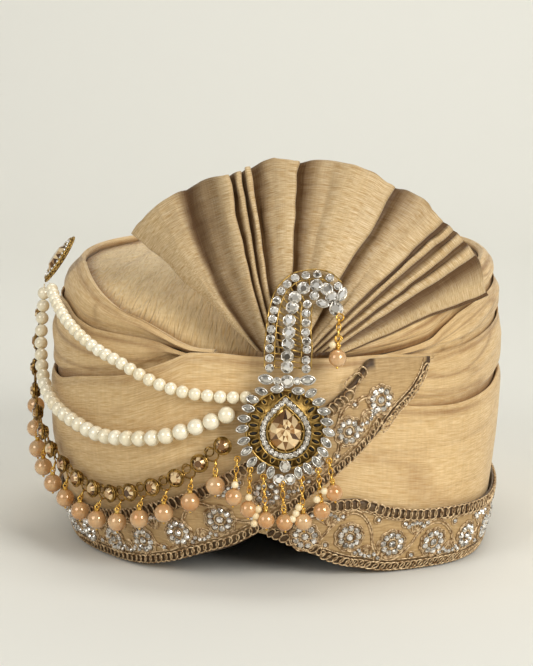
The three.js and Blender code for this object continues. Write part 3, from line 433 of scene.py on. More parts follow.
def feed(tree, socket, value):
    """Gives a socket a plain value or another node's output."""
    if isinstance(value, bpy.types.NodeSocket):
        tree.links.new(value, socket)
    else:
        socket.default_value = value


def uv_of(tree):
    node = tree.nodes.new("ShaderNodeUVMap")
    node.uv_map = "UVMap"
    return node.outputs[0]


def attribute(tree, name):
    node = tree.nodes.new("ShaderNodeAttribute")
    node.attribute_name = name
    return node.outputs["Fac"]


def bumped(tree, height, strength, distance, normal=None):
    """Normal of a surface raised by a height."""
    node = tree.nodes.new("ShaderNodeBump")
    settings(node, Strength=strength, Distance=distance)
    tree.links.new(height, node.inputs["Height"])
    if normal is not None:
        tree.links.new(normal, node.inputs["Normal"])
    return node.outputs[0]


def mix_colour(tree, factor, a, b, blend="MIX"):
    node = tree.nodes.new("ShaderNodeMix")
    node.data_type = "RGBA"
    node.blend_type = blend
    for socket, value in ((0, factor), (6, a), (7, b)):
        feed(tree, node.inputs[socket], value)
    return node.outputs[2]


def maths(tree, operation, a, b=0.0):
    node = tree.nodes.new("ShaderNodeMath")
    node.operation = operation
    for socket, value in zip(node.inputs, (a, b)):
        feed(tree, socket, value)
    return node.outputs[0]


def stretched_noise(tree, vector, scale, detail=2.0, rough=0.5, distortion=0.0):
    """Noise whose cells are 1/scale units long along each of the two coordinates."""
    mapping = tree.nodes.new("ShaderNodeMapping")
    mapping.inputs["Scale"].default_value = (*scale, 1)
    tree.links.new(vector, mapping.inputs["Vector"])
    node = tree.nodes.new("ShaderNodeTexNoise")
    settings(node, Scale=1, Detail=detail, Roughness=rough, Distortion=distortion)
    tree.links.new(mapping.outputs[0], node.inputs["Vector"])
    return node.outputs[0]


def remap(tree, value, low, high, out_low=0.0, out_high=1.0):
    node = tree.nodes.new("ShaderNodeMapRange")
    tree.links.new(value, node.inputs[0])
    for i, number in enumerate((low, high, out_low, out_high)):
        node.inputs[i + 1].default_value = number
    return node.outputs[0]


def srgb(*channels):
    linear = [((c / 255 + 0.055) / 1.055) ** 2.4 if c > 10 else c / 255 / 12.92 for c in channels]
    return (*linear, 1.0)


WARM_SHEEN = (1.0, 0.92, 0.78, 1)


def tissue(name, dark, base, light, along=(8, 150), across=(60, 9), bump=0.5, ridges=None):
    """Woven tissue silk: long slubs along u, faint threads across, and painted shade in the valleys of its
    folds and under its hems.

    The uv unit is 100 mm, so a scale of 100 is a feature of 1 mm. ridges are fine raised gathers whose crests
    get a painted highlight. dark is the colour of the painted shade.
    """
    material, tree, shader = nodes_of(name)
    vector = uv_of(tree)
    slubs = stretched_noise(tree, vector, along, 3, 0.65, 0.15)
    threads = stretched_noise(tree, vector, across, 2, 0.5)
    tone = stretched_noise(tree, vector, (2.4, 3.2), 2, 0.5)
    wrinkles = stretched_noise(tree, vector, (0.12 * along[0], 0.12 * along[1]), 3, 0.55, 0.5)
    streak = remap(tree, slubs, 0.34, 0.66)
    colour = mix_colour(tree, streak, base, light)
    shade = remap(tree, tone, 0.3, 0.7, 0.0, 0.16)
    shade = maths(tree, "ADD", shade, remap(tree, threads, 0.35, 0.7, 0.0, 0.1))
    # Painted shade: darker in the low parts of the wrinkles' bump.
    shade = maths(tree, "ADD", shade, remap(tree, wrinkles, 0.5, 0.3, 0.0, 0.08))
    # Painted shade from each mesh's fold attribute, in its creases and where other parts shade it.
    shade = maths(tree, "ADD", shade, maths(tree, "MULTIPLY", attribute(tree, "fold"), 0.85))
    height = maths(tree, "ADD", maths(tree, "MULTIPLY", slubs, 0.8), maths(tree, "MULTIPLY", threads, 0.2))
    normal = bumped(tree, wrinkles, 0.35, 0.0022)
    if ridges:
        gather = stretched_noise(tree, vector, ridges, 1, 0.4, 0.6)
        crest = maths(tree, "ABSOLUTE", maths(tree, "SUBTRACT", gather, 0.5))
        crest = remap(tree, crest, 0.0, 0.16, 1.0, 0.0)
        # Painted highlight on the crests of the ridges.
        colour = mix_colour(tree, remap(tree, crest, 0.2, 1.0, 0.0, 0.7), colour, light)
        normal = bumped(tree, crest, 0.5, 0.0012, normal)
    shade = maths(tree, "MINIMUM", shade, 1.0)
    tree.links.new(mix_colour(tree, shade, colour, dark), shader.inputs["Base Color"])
    tree.links.new(remap(tree, streak, 0, 1, 0.62, 0.44), shader.inputs["Roughness"])
    tree.links.new(bumped(tree, height, bump, 0.0004, normal), shader.inputs["Normal"])
    settings(shader, Specular_IOR_Level=0.35, Sheen_Weight=0.25, Sheen_Roughness=0.4, Sheen_Tint=WARM_SHEEN)
    return material


# The first colour of each cloth is the colour of its painted shade.
WRAP_CLOTH = tissue(
    "wrap_cloth",
    srgb(134, 90, 42),
    srgb(206, 168, 110),
    srgb(236, 208, 158),
    along=(11, 190),
)
CROWN_CLOTH = tissue(
    "crown_cloth",
    srgb(140, 98, 44),
    srgb(206, 168, 106),
    srgb(236, 208, 156),
    along=(170, 12),
    across=(9, 60),
    ridges=(44, 6),
)
FAN_CLOTH = tissue(
    "fan_cloth",
    srgb(88, 58, 22),
    srgb(184, 148, 92),
    srgb(230, 206, 164),
    along=(210, 13),
    across=(6, 150),
    bump=0.6,
)


def lining():
    material, tree, shader = nodes_of("lining_cloth")
    weave = stretched_noise(tree, uv_of(tree), (90, 90), 3, 0.6)
    colour = mix_colour(tree, remap(tree, weave, 0.35, 0.65), srgb(22, 17, 14), srgb(42, 34, 28))
    tree.links.new(colour, shader.inputs["Base Color"])
    shader.inputs["Roughness"].default_value = 0.9
    tree.links.new(bumped(tree, weave, 0.4, 0.0005), shader.inputs["Normal"])
    return material


LINING = lining()


# Cloth


def dress(obj, material, slot, *nodes, body_name="root"):
    obj.data.materials.append(material)
    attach(obj, body_name)
    if nodes:
        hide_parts(*nodes)
    return obj


def refine(points, counts):
    """Points (rows, size, 2) of closed polylines with each side cut into its count of steps."""
    size = points.shape[1]
    out = []
    for j in range(size):
        a, b = points[:, j], points[:, (j + 1) % size]
        for step in range(counts[j]):
            out.append(a + (b - a) * (step / counts[j]))
    return np.stack(out, 1)


def rounded(loop, passes=2):
    for _ in range(passes):
        loop = 0.5 * loop + 0.25 * (np.roll(loop, 1, 1) + np.roll(loop, -1, 1))
    return loop


def wrap_body(name, turns, control, counts, ripple):
    """Wound cloth: control (rows, 10, 2) holds z and offset round the section; ripple adds its folds."""
    loop = rounded(refine(control, counts))
    points = loop.shape[1]
    high = control[:, :5, 0].max(1)[:, None]
    low = control[:, :5, 0].min(1)[:, None]
    share = (loop[..., 0] - low) / np.maximum(high - low, 1e-6)
    outer = np.zeros(points)
    front = sum(counts[:4])
    outer[1:front] = 1
    outer = np.convolve(np.r_[outer, outer, outer], np.ones(5) / 5, "same")[points : 2 * points]
    turn = np.repeat(turns[:, None], points, 1)
    lift, fold = ripple(turn, share, loop[..., 0], high, low)
    loop[..., 1] += lift * outer[None, :]
    place, _ = body(turn, loop[..., 0], loop[..., 1])
    arc = np.radians(turn) * 124
    run = np.cumsum(np.r_[0, np.hypot(*np.diff(loop[len(loop) // 2], axis=0).T)])
    uv = np.stack([arc, np.broadcast_to(run, turn.shape)], -1)
    return swept(name, place, uv, flip=True, fold=fold)


def hem_shadow(along, below, width, pitch, seed):
    """Groove at some distance below the next hem, uneven along it; the same mask also gives a painted shadow
    under the hem.
    """
    return np.exp(-((below / width) ** 2)) * (0.6 + 0.4 * noise(along / pitch, 0 * along, seed))


def lower_wrap():
    turns = np.arange(LOWER_WRAP[0][0], LOWER_WRAP[-1][0] + 0.01, WRAP_STEP)
    low, high, out, inside = (f(turns) for f in LOWER_AT)
    height = high - low
    tuck = np.minimum(12, 0.3 * height)
    upper_inside = np.maximum(inside, np.minimum(out - 3, -3 + np.maximum(out, 0)))
    rows = [
        (low, out - 0.4),
        (low + 0.3 * height, out),
        (low + 0.65 * height, out),
        (high - np.minimum(3, 0.2 * height), out),
        (high, out - 1.3),
        (high - np.minimum(1, 0.1 * height), upper_inside),
        (high - tuck, upper_inside),
        (high - tuck - np.minimum(3, 0.1 * height), inside),
        (low + 0.3 * height, inside),
        (low, inside),
    ]
    control = np.stack([np.stack(pair, -1) for pair in rows], 1)

    def ripple(turn, share, z, high, low):
        along = turn * DEGREE_RUN
        level = share * 84
        lap = ease((turn - 318) / 30)
        drift = 0.5 * noise(along / 90, level / 45, 5)
        coarse = (along / 150, level / 15 + drift, 3)
        small = (along / 75 + 5, level / 7 + 1.6 * drift, 9)
        soft = noise(along / 60, level / 10, 8)
        lift = 0.45 * (creases(*coarse, 0.22) - 0.2) + 0.22 * (creases(*small, 0.24) - 0.2) + 0.3 * soft
        # Painted shade in the crease valleys and in the groove under the hem, faded out at the lowest edge.
        fold = np.maximum(0.26 * valley(*coarse, 0.12), 0.18 * valley(*small, 0.1))
        under_hem = hem_shadow(along, z - high + 3.4, 1.5, 40, 13)
        edge = ease((share - 0.03) / 0.06)
        return (0.65 + 0.4 * lap) * lift - 0.5 * under_hem, edge * np.maximum(fold, 0.8 * under_hem)

    obj = wrap_body("lower_wrap_cloth", turns, control, [20, 26, 24, 8, 3, 2, 4, 3, 6, 2], ripple)
    return dress(obj, WRAP_CLOTH, "cloth", "lower_wrap")


def upper_wrap(name, node, rows, below, last_covered, seed):
    turns = np.arange(rows[0][0], rows[-1][0] + 0.01, WRAP_STEP)
    turns = np.append(turns[:-1], rows[-1][0])
    low, high = smooth(rows, 1)(turns), smooth(rows, 2)(turns)
    tail = np.minimum(10, 0.4 * (smooth(below, 2)(turns) - smooth(below, 1)(turns)))
    height = high - low
    covered = turns <= last_covered
    tuck = np.where(covered, np.minimum(10, 0.4 * height), 0)
    top_inside = np.where(covered, -3, -5.6)

    def short(share, limit):
        return np.minimum(limit, share * height)

    points = [
        (low - tail, np.full_like(low, -3.6)),
        (low + 0.1 * height, np.full_like(low, -3.6)),
        (low + short(0.3, 3), np.full_like(low, -1.0)),
        (low + 0.55 * height, np.full_like(low, 0.4)),
        (high, np.full_like(low, -1.5)),
        (high - short(0.2, 1.5), top_inside),
        (high - tuck - short(0.3, 2), top_inside),
        (high - tuck - short(0.4, 2.6), np.full_like(low, -6.6)),
        (low, np.full_like(low, -6.6)),
        (low - tail, np.full_like(low, -6.6)),
    ]
    control = np.stack([np.stack(pair, -1) for pair in points], 1)

    def ripple(turn, share, z, high, low):
        along = turn * DEGREE_RUN
        level = share * 30
        window = ease((share - 0.25) / 0.15)
        drift = 0.5 * noise(along / 60, level / 18, seed + 4)
        coarse = (along / 110, level / 9 + drift, seed)
        small = (along / 60 + 9, level / 4.6 + 1.5 * drift, seed + 1)
        size = np.minimum(1, (high - low) / 14)
        under_hem = hem_shadow(along, z - high + 3.2, 1.2, 35, seed + 2)
        lift = 0.85 * (creases(*coarse, 0.14) - 0.25) + 0.35 * (creases(*small, 0.2) - 0.2)
        # Painted shade in the crease valleys, under the hem, and on the low edge that tucks in behind the
        # wrap below.
        fold = np.maximum(0.6 * valley(*coarse, 0.11), 0.35 * valley(*small, 0.1))
        fold = np.maximum(fold * window, 0.85 * (1 - ease((share - 0.22) / 0.16)))
        return window * size * lift - 0.45 * size * under_hem, np.maximum(fold, 0.8 * under_hem)

    obj = wrap_body(name, turns, control, [2, 3, 12, 24, 4, 2, 4, 3, 5, 3], ripple)
    return dress(obj, WRAP_CLOTH, "cloth", node)


def crown_point(azimuth, reach, drop, rim_offset):
    rim_z = HEM_AT(azimuth) - 4
    rim, _ = body(azimuth, rim_z, rim_offset)
    z = CROWN_TOP - (CROWN_TOP - rim_z) * reach**CROWN_FLATNESS - drop
    return np.stack([rim[..., 0] * reach, rim[..., 1] * reach, z], -1)


def crown():
    azimuths = np.arange(-180, 180, 0.9)
    reaches = np.concatenate([[0.02], np.linspace(0.05, 0.7, 30), np.linspace(0.715, 1, 30)])
    az, reach = np.meshgrid(azimuths, reaches, indexing="ij")
    top = crown_point(az, reach, 0, CROWN_RIM_OFFSET)
    under = crown_point(az, reach, CROWN_THICKNESS, CROWN_RIM_OFFSET)
    x, y = top[..., 0], top[..., 1]
    bend = 6 * noise(x / 30, y / 45, 2)
    wide = ((x + bend) / 8.5, y / 38, 21, 0.2)
    narrow = ((x - bend) / 5 + 7, y / 22, 22, 0.2)
    folds = 0.6 * creases(*wide) + 0.4 * creases(*narrow)
    # Painted shade in the crease valleys and at the rim where the crown goes under the wraps.
    fold = np.maximum(0.22 * valley(*wide), ease((reach - 0.93) / 0.07))
    # Painted shadow of the fan on the front of the crown.
    fold = np.maximum(fold, 0.8 * ease((x + 40) / 75) * ease((-y - 30) / 60))
    fade = ease((1 - reach) / 0.06) * ease(reach / 0.08)
    slope = np.clip(3 * (reach - 0.6), 0, 1)
    lift = (1.15 * folds - 0.3) * fade
    outward = np.stack([x, y, np.full_like(x, 60)], -1)
    outward /= np.linalg.norm(outward, axis=-1)[..., None]
    direction = np.stack([outward[..., 0] * slope, outward[..., 1] * slope, np.ones_like(x)], -1)
    direction /= np.linalg.norm(direction, axis=-1)[..., None]
    top = top + direction * lift[..., None]
    under = under + direction * lift[..., None]
    loops = out_and_back(top, under)
    points = np.vstack([loops.reshape(-1, 3), [0, 0, CROWN_TOP], [0, 0, CROWN_TOP - CROWN_THICKNESS]])
    faces = dome_faces(*loops.shape[:2])
    uv = np.vstack([loops.reshape(-1, 3)[:, :2], [0, 0], [0, 0]])
    fold = np.r_[np.concatenate([fold, 0 * fold], 1).ravel(), 0, 0]
    obj = new_mesh("crown_cloth_top", points, faces, uv, fold=fold)
    return dress(obj, CROWN_CLOTH, "cloth", "crown")


def base_cap():
    """Lining of the hollow: like the frame's own shape, with quilting rows inside."""
    azimuths = np.arange(-180, 180, 3.0)
    az = azimuths[:, None]
    drop = 2.7
    inner_drop = drop + 3
    rim = BASE_RIM_AT(azimuths)
    hem = HEM_AT(azimuths)
    wall_top = hem - 12
    hollow_top = np.minimum(wall_top - 4, crown_point(azimuths, 0.78, inner_drop, BASE_OFFSET)[:, 2] - 8)
    outer_dome = crown_point(az, np.linspace(0.1, 0.9, 9)[None, :], drop, BASE_OFFSET)
    levels = rim[:, None] + (wall_top - rim)[:, None] * np.linspace(1, 0, 8)[None, :]
    outer_wall, _ = body(az, levels, BASE_OFFSET)
    inner_levels = rim[:, None] + (hollow_top - rim)[:, None] * np.linspace(0, 1, 40)[None, :]
    quilting = 0.9 * np.abs(np.sin(np.pi * (inner_levels - rim[:, None]) / 11))
    inward = RIM_HOLLOW_OFFSET + (HEAD_HOLLOW_OFFSET - RIM_HOLLOW_OFFSET) * np.clip(inner_levels / 50, 0, 1)
    inner_wall, _ = body(az, inner_levels, inward + 1.0 - quilting)
    inner_dome = crown_point(az, np.linspace(0.72, 0.1, 8)[None, :], inner_drop, BASE_OFFSET)
    loops = np.concatenate([outer_dome, outer_wall, inner_wall, inner_dome], 1)
    rows, size = loops.shape[:2]
    faces = dome_faces(rows, size)
    points = np.vstack([loops.reshape(-1, 3), [0, 0, CROWN_TOP - drop], [0, 0, CROWN_TOP - inner_drop]])
    along = np.radians(np.broadcast_to(az, (rows, size))) * 110
    run = np.broadcast_to(np.linspace(0, 420, size), (rows, size))
    uv = np.vstack([np.stack([along, run], -1).reshape(-1, 2), [0, 0], [0, 0]])
    obj = new_mesh("base_lining", points, faces, uv)
    return dress(obj, LINING, "dark_cloth", "base_cap")


def fan_point(angle, along, height):
    reach, back = smooth(FAN_RIM, 1)(angle), smooth(FAN_RIM, 2)(angle)
    radians = np.radians(angle)
    start = np.minimum(12 / np.sin(radians), 26)
    distance = start + (reach - start) * along
    share = distance / reach
    bend = 1.05 + 0.35 * np.abs(np.cos(radians))
    lean = back * share**bend
    fold = height * (0.4 + 0.6 * along)
    return np.stack(
        [
            FAN_BASE[0] + distance * np.cos(radians),
            FAN_BASE[1] + lean - 0.9 * fold,
            FAN_BASE[2] + distance * np.sin(radians) + 0.35 * fold,
        ],
        -1,
    )


# Depth of shade along the fan's soft folds, by rim angle
SOFT_FOLD_SHADE = {129.5: 0.1, 124.8: 1.0, 117: 0.6, 97: 0.15, 81: 0.25, 61.4: 1.0, 52: 0.2}


def pleat_path():
    """Across the fan: rim angle, base angle, height, sideways millimetres, stiffness and depth of shade."""
    path = []
    for i, (rim, base, before, after) in enumerate(FAN_FOLDS):
        if before - after < 1:
            path.append((rim, base, before, 0, 0, SOFT_FOLD_SHADE.get(rim, 0.0)))
            continue
        wide = 1.7 * (FAN_FOLDS[i - 1][0] - rim)
        roll = min(1.7, 0.25 * wide, (before - after - 0.8) / 2)
        back = min(4.2, 0.42 * wide)
        path.append((rim, base, before, -roll - 1.0, 1, 0))
        for turn in (90, 55, 20, -20, -55, -90):
            side = roll * (math.cos(math.radians(turn)) - 1)
            drop = roll * (1 - math.sin(math.radians(turn)))
            path.append((rim, base, before - drop, side, 1, 0.45 * (90 - turn) / 180))
        under = before - 2 * roll
        path.append((rim, base, under, -roll - back, 1, 1))
        path.append((rim, base, (under + after) / 2, -roll - back - 0.4, 1, 1))
        path.append((rim, base, after, -roll - back, 1, 1))
        path.append((rim, base, after, 0.2, 0.4, 1))
        path.append((rim, base, after + 0.1, 1.6, 0.2, 0.95))
    return path


def fan():
    """Knife pleats: the rolled edge of each laps over the next one and turns back beneath itself."""
    path = pleat_path()
    along = np.linspace(0, 1, 48)
    lines = []
    for a, b in zip(path[:-1], path[1:]):
        turn = abs(a[0] - b[0])
        wide = turn > 0.5
        steps = max(3, int(turn * 1.5)) if wide else 2
        for step in range(steps):
            t = step / steps
            bulge = min(1.3, 0.08 * turn) * math.sin(math.pi * t) if wide else 0
            mixed = [p + (q - p) * t for p, q in zip(a, b)]
            shade = a[5] + (b[5] - a[5]) * ease(min(1, (1.15 if turn > 8 else 1.0) * t)) if wide else mixed[5]
            lines.append((mixed[0], mixed[1], mixed[2] + bulge, mixed[3], mixed[4], shade))
    lines.append(path[-1])
    rim, base, height, side, stiff, shade = (np.array(column, float)[:, None] for column in zip(*lines))
    run = along[None, :]
    radius = 14 + 84 * run
    swing = 0.5 + 0.7 * ease((rim - 112) / 12)
    angle = base + (rim - base) * run**swing - np.degrees(side * (0.1 + 0.9 * run) / radius)
    wander = 0.62 * noise(run * 5.5, rim / 3.4, 31) + 0.3 * noise(run * 13, rim / 3.0, 32)
    angle = angle + wander * ease(run * 3)
    crumple = 0.5 * noise(run * 7, rim / 2.8, 33) + 0.25 * noise(run * 17, rim / 2.2, 35)
    height = height + crumple * (1 - 0.8 * stiff)
    trim = 1 + (0.008 * noise(rim / 4.5, 0 * rim, 36) - 0.008 * shade - 0.022 * stiff) * run**8
    front = fan_point(angle, run * trim, height)
    back = fan_point(angle, run * trim, height - 0.7 / (0.4 + 0.6 * run))
    loops = out_and_back(front, back)
    across = run_along(front[:, -1])[:, None]
    uv = np.stack([np.broadcast_to(run * 98, front.shape[:2]), np.broadcast_to(across, front.shape[:2])], -1)
    uv = out_and_back(uv, uv)
    shade = np.broadcast_to(shade, front.shape[:2])
    obj = swept("fan_pleats", loops, uv, fold=np.concatenate([shade, shade], 1))
    return dress(obj, FAN_CLOTH, "fan_cloth", "fan")


base_cap()
crown()
lower_wrap()
upper_wrap("upper_wrap_cloth_1", "upper_wrap_1", UPPER_WRAP_1, LOWER_WRAP, 360, 41)
upper_wrap("upper_wrap_cloth_2", "upper_wrap_2", UPPER_WRAP_2, UPPER_WRAP_1, 240, 51)
upper_wrap("upper_wrap_cloth_3", "upper_wrap_3", UPPER_WRAP_3, UPPER_WRAP_2, 0, 61)
fan()


# Small shapes, each a pair of points (n, 3) in millimetres and faces


def ball(radius, rings=10, sides=16):
    points = [[0, 0, radius]]
    for i in range(1, rings):
        polar = math.pi * i / rings
        for j in range(sides):
            turn = TAU * j / sides
            ring = radius * math.sin(polar)
            points.append([ring * math.cos(turn), ring * math.sin(turn), radius * math.cos(polar)])
    points.append([0, 0, -radius])
    last = len(points) - 1
    faces = [[0, 1 + j, 1 + (j + 1) % sides] for j in range(sides)]
    for i in range(rings - 2):
        a = 1 + i * sides
        for j in range(sides):
            k = (j + 1) % sides
            faces.append([a + j, a + sides + j, a + sides + k, a + k])
    a = last - sides
    faces += [[last, a + (j + 1) % sides, a + j] for j in range(sides)]
    return np.array(points), faces


def tube(path, radius, sides=6, closed=False, hint=(0, 0, 1), flatten=1.0):
    """Round wire along a path; flatten squeezes it along the hint."""
    path = np.asarray(path, float)
    ahead = np.roll(path, -1, 0) - np.roll(path, 1, 0)
    if not closed:
        ahead[0], ahead[-1] = path[1] - path[0], path[-1] - path[-2]
    ahead /= np.linalg.norm(ahead, axis=1)[:, None]
    hints = np.broadcast_to(np.asarray(hint, float), path.shape)
    side = np.cross(hints, ahead)
    side /= np.maximum(np.linalg.norm(side, axis=1), 1e-9)[:, None]
    up = np.cross(ahead, side)
    turn = TAU * (np.arange(sides) + 0.5) / sides
    radius = np.broadcast_to(np.asarray(radius, float), (len(path),))[:, None, None]
    ring = side[:, None] * np.cos(turn)[None, :, None] + flatten * up[:, None] * np.sin(turn)[None, :, None]
    points = (path[:, None] + radius * ring).reshape(-1, 3)
    faces = grid_faces(len(path), sides, close_rows=closed, close_columns=True, flip=True)
    if not closed:
        faces.append(list(range(sides)))
        last = (len(path) - 1) * sides
        faces.append([last + i for i in reversed(range(sides))])
    return points, faces


def circle(radius, count, phase=0.0):
    turn = TAU * (np.arange(count) + phase) / count
    return np.stack([radius * np.cos(turn), radius * np.sin(turn)], -1)


def flat_wire(outline, depth, wire, sides=6):
    """Closed wire along an outline (n, 2) at one depth."""
    return tube(np.c_[outline, np.full(len(outline), float(depth))], wire, sides, closed=True)


def wire_ring(radius, wire, count=14, sides=6):
    return flat_wire(circle(radius, count), 0, wire, sides)


def plate(outline, low, high):
    """Flat body with an outline (n, 2) between two depths."""
    n = len(outline)
    points = np.vstack([np.c_[outline, np.full(n, low)], np.c_[outline, np.full(n, high)]])
    faces = [[i, (i + 1) % n, n + (i + 1) % n, n + i] for i in range(n)]
    faces += [list(reversed(range(n))), [n + i for i in range(n)]]
    return points, faces


def gem(outline, height, table=0.58, depth=0.5, star=False):
    """Cut stone: its girdle is the outline (n, 2) at zero, with triangular facets up to the table."""
    n = len(outline)
    half = table * (outline + np.roll(outline, -1, 0)) / 2
    under = np.c_[0.8 * outline, np.full(n, -depth)]
    points = np.vstack([under, np.c_[outline, np.zeros(n)], np.c_[half, np.full(n, height)]])
    faces = [list(reversed(range(n)))]
    for i in range(n):
        j = (i + 1) % n
        faces.append([i, j, n + j, n + i])
        faces.append([n + i, n + j, 2 * n + i])
        faces.append([2 * n + i, n + j, 2 * n + j])
    if not star:
        faces.append([2 * n + i for i in range(n)])
        return points, faces
    inner = 0.5 * outline * table
    points = np.vstack([points, np.c_[inner, np.full(n, 1.04 * height)], [[0, 0, 1.06 * height]]])
    for i in range(n):
        j = (i + 1) % n
        faces.append([2 * n + i, 3 * n + j, 3 * n + i])
        faces.append([2 * n + i, 2 * n + j, 3 * n + j])
        faces.append([3 * n + i, 3 * n + j, 4 * n])
    return points, faces


def marquise(length, width, count=12):
    turn = TAU * np.arange(count) / count
    return np.stack([length / 2 * np.cos(turn), width / 2 * np.sin(turn) * np.abs(np.sin(turn)) ** 0.35], -1)


def pear(left, right, top, bottom, count):
    """The pear outline, evenly spaced, anticlockwise from its point at the top."""
    sides = [
        ((0, top), (0.55 * left, 0.62 * top), (left, 0.3 * top), (left, 0.12 * bottom)),
        ((left, 0.12 * bottom), (left, 0.68 * bottom), (0.55 * left, bottom), (0, bottom)),
        ((0, bottom), (0.55 * right, bottom), (right, 0.68 * bottom), (right, 0.12 * bottom)),
        ((right, 0.12 * bottom), (right, 0.3 * top), (0.55 * right, 0.62 * top), (0, top)),
    ]
    t = np.linspace(0, 1, 24, endpoint=False)[:, None]

    def curve(corners):
        a, b, c, d = np.array(corners)
        return (1 - t) ** 3 * a + 3 * t * (1 - t) ** 2 * b + 3 * t * t * (1 - t) * c + t**3 * d

    line = np.vstack([curve(corners) for corners in sides])
    line = np.vstack([line, line[:1]])
    run = run_along(line)
    return evenly(line, run, np.linspace(0, run[-1], count, endpoint=False))


def spline(points, count):
    """Evenly spaced places on a smooth curve through a few points."""
    p = np.asarray(points, float)
    p = np.vstack([2 * p[0] - p[1], p, 2 * p[-1] - p[-2]])
    t = np.linspace(0, 1, 24, endpoint=False)[:, None]
    line = []
    for i in range(1, len(p) - 2):
        a, b, c, d = p[i - 1 : i + 3]
        d0, d1, d2 = (max(np.linalg.norm(v), 1e-9) ** 0.5 for v in (b - a, c - b, d - c))
        m1 = ((b - a) / d0 - (c - a) / (d0 + d1) + (c - b) / d1) * d1
        m2 = ((c - b) / d1 - (d - b) / (d1 + d2) + (d - c) / d2) * d1
        h = (2 * t**3 - 3 * t**2 + 1, t**3 - 2 * t**2 + t, 3 * t**2 - 2 * t**3, t**3 - t**2)
        line.append(b * h[0] + m1 * h[1] + c * h[2] + m2 * h[3])
    line = np.vstack([*line, p[-2][None]])
    run = run_along(line)
    return evenly(line, run, np.linspace(0, run[-1], count))


class Heap:
    """Like small shapes gathered into one mesh; every face of a stone gets a random tone that picks its
    painted reflection.
    """

    def __init__(self, seed=1):
        self.points, self.faces, self.facet_reflections = [], [], []
        self.total = 0
        self.random = np.random.default_rng(seed)

    def add(self, shape, origin=(0, 0, 0), axes=None, place=None):
        points, faces = shape
        if axes is not None:
            points = points @ np.asarray(axes)
        points = points + np.asarray(origin)
        if place is not None:
            points = place(points)
        self.points.append(points)
        self.faces += [[self.total + c for c in face] for face in faces]
        self.facet_reflections.append(self.random.random(len(faces)))
        self.total += len(points)

    def build(self, name, material, slot, *nodes, smooth_shade=True):
        obj = new_mesh(name, np.vstack(self.points), self.faces, None, smooth_shade)
        if not smooth_shade:
            # Each face's tone picks its painted reflection from the stone's colour ramp.
            layer = obj.data.attributes.new("tone", "FLOAT", "FACE")
            layer.data.foreach_set("value", np.concatenate(self.facet_reflections))
        return dress(obj, material, slot, *nodes)


def unit(v):
    return v / np.maximum(np.linalg.norm(v, axis=-1, keepdims=True), 1e-9)


# Materials of the trims and the jewellery


def painted_reflection_stone(name, dark, middle, light, metallic, rough):
    """Foil-backed cut stone: its facets get painted reflections, running from dark to light."""
    material, tree, shader = nodes_of(name)
    ramp = tree.nodes.new("ShaderNodeValToRGB")
    ramp.color_ramp.elements[0].color = dark
    ramp.color_ramp.elements[1].color = light
    ramp.color_ramp.elements[1].position = 0.9
    ramp.color_ramp.elements.new(0.45).color = middle
    tree.links.new(attribute(tree, "tone"), ramp.inputs[0])
    tree.links.new(ramp.outputs[0], shader.inputs["Base Color"])
    settings(shader, Metallic=metallic, Roughness=rough, Coat_Weight=0.6, Coat_Roughness=0.04)
    return material


def speckled(name, dark, light, scale, rough, metallic=0.0, bump=0.0, coat=0.0):
    """Finish whose colour and roughness wander between two values over the surface."""
    material, tree, shader = nodes_of(name)
    place = tree.nodes.new("ShaderNodeTexCoord")
    grain = tree.nodes.new("ShaderNodeTexNoise")
    settings(grain, Scale=scale, Detail=4)
    tree.links.new(place.outputs["Object"], grain.inputs["Vector"])
    amount = remap(tree, grain.outputs[0], 0.36, 0.64)
    tree.links.new(mix_colour(tree, amount, dark, light), shader.inputs["Base Color"])
    tree.links.new(remap(tree, amount, 0, 1, rough + 0.12, rough - 0.06), shader.inputs["Roughness"])
    settings(shader, Metallic=metallic, Coat_Weight=coat, Coat_Roughness=0.08)
    if bump:
        tree.links.new(bumped(tree, grain.outputs[0], bump, 0.0003), shader.inputs["Normal"])
    return material


OLD_GOLD = speckled("old_gold_metal", srgb(122, 94, 44), srgb(208, 172, 100), 420, 0.36, 0.9, 0.3)
CHAIN_GOLD = speckled("chain_gold_metal", srgb(92, 66, 28), srgb(188, 150, 82), 500, 0.3, 1.0, 0.2)
CREAM_PEARL = speckled("cream_pearl", srgb(240, 226, 192), srgb(250, 242, 218), 60, 0.16, 0.1, 0.0, 1.0)
PEACH_PEARL = speckled("peach_pearl", srgb(222, 160, 92), srgb(244, 204, 150), 90, 0.12, 0.15, 0.0, 1.0)
PEACH_PEARL.node_tree.nodes["Principled BSDF"].inputs["Transmission Weight"].default_value = 0.35
SEED_PEARL = speckled("seed_pearl", srgb(226, 200, 150), srgb(244, 226, 186), 80, 0.26, 0.0, 0.0, 0.7)
SILVER = speckled("silver_rim", srgb(172, 164, 150), srgb(236, 232, 224), 380, 0.26, 1.0, 0.2)
# Painted shade: a near-black finish for plates that stand for the shadow seen through the ring's open slots.
SLOT_SHADE = speckled("painted_slot_shade", srgb(20, 16, 12), srgb(40, 30, 20), 300, 0.6, 0.2, 0.2)
# Painted reflections: the domed stones' mottling from dark grey to pale.
DOME_STONE = speckled("domed_stone", srgb(84, 78, 68), srgb(206, 202, 192), 330, 0.1, 0.6, 0.0, 1.0)
# The facet colours, from dark to light, are painted reflections.
CLEAR_STONE = painted_reflection_stone("clear_stone", srgb(92, 84, 72), srgb(206, 200, 188), srgb(255, 253, 248), 0.6, 0.1)
CHAMPAGNE = painted_reflection_stone("champagne_stone", srgb(64, 38, 14), srgb(160, 112, 56), srgb(250, 222, 172), 0.45, 0.08)
CORD = speckled("gold_cord", srgb(128, 92, 50), srgb(236, 208, 164), 700, 0.42, 0.4, 0.8)
LINK_GOLD = speckled("link_gold_metal", srgb(206, 152, 58), srgb(244, 204, 112), 300, 0.24, 1.0, 0.1)
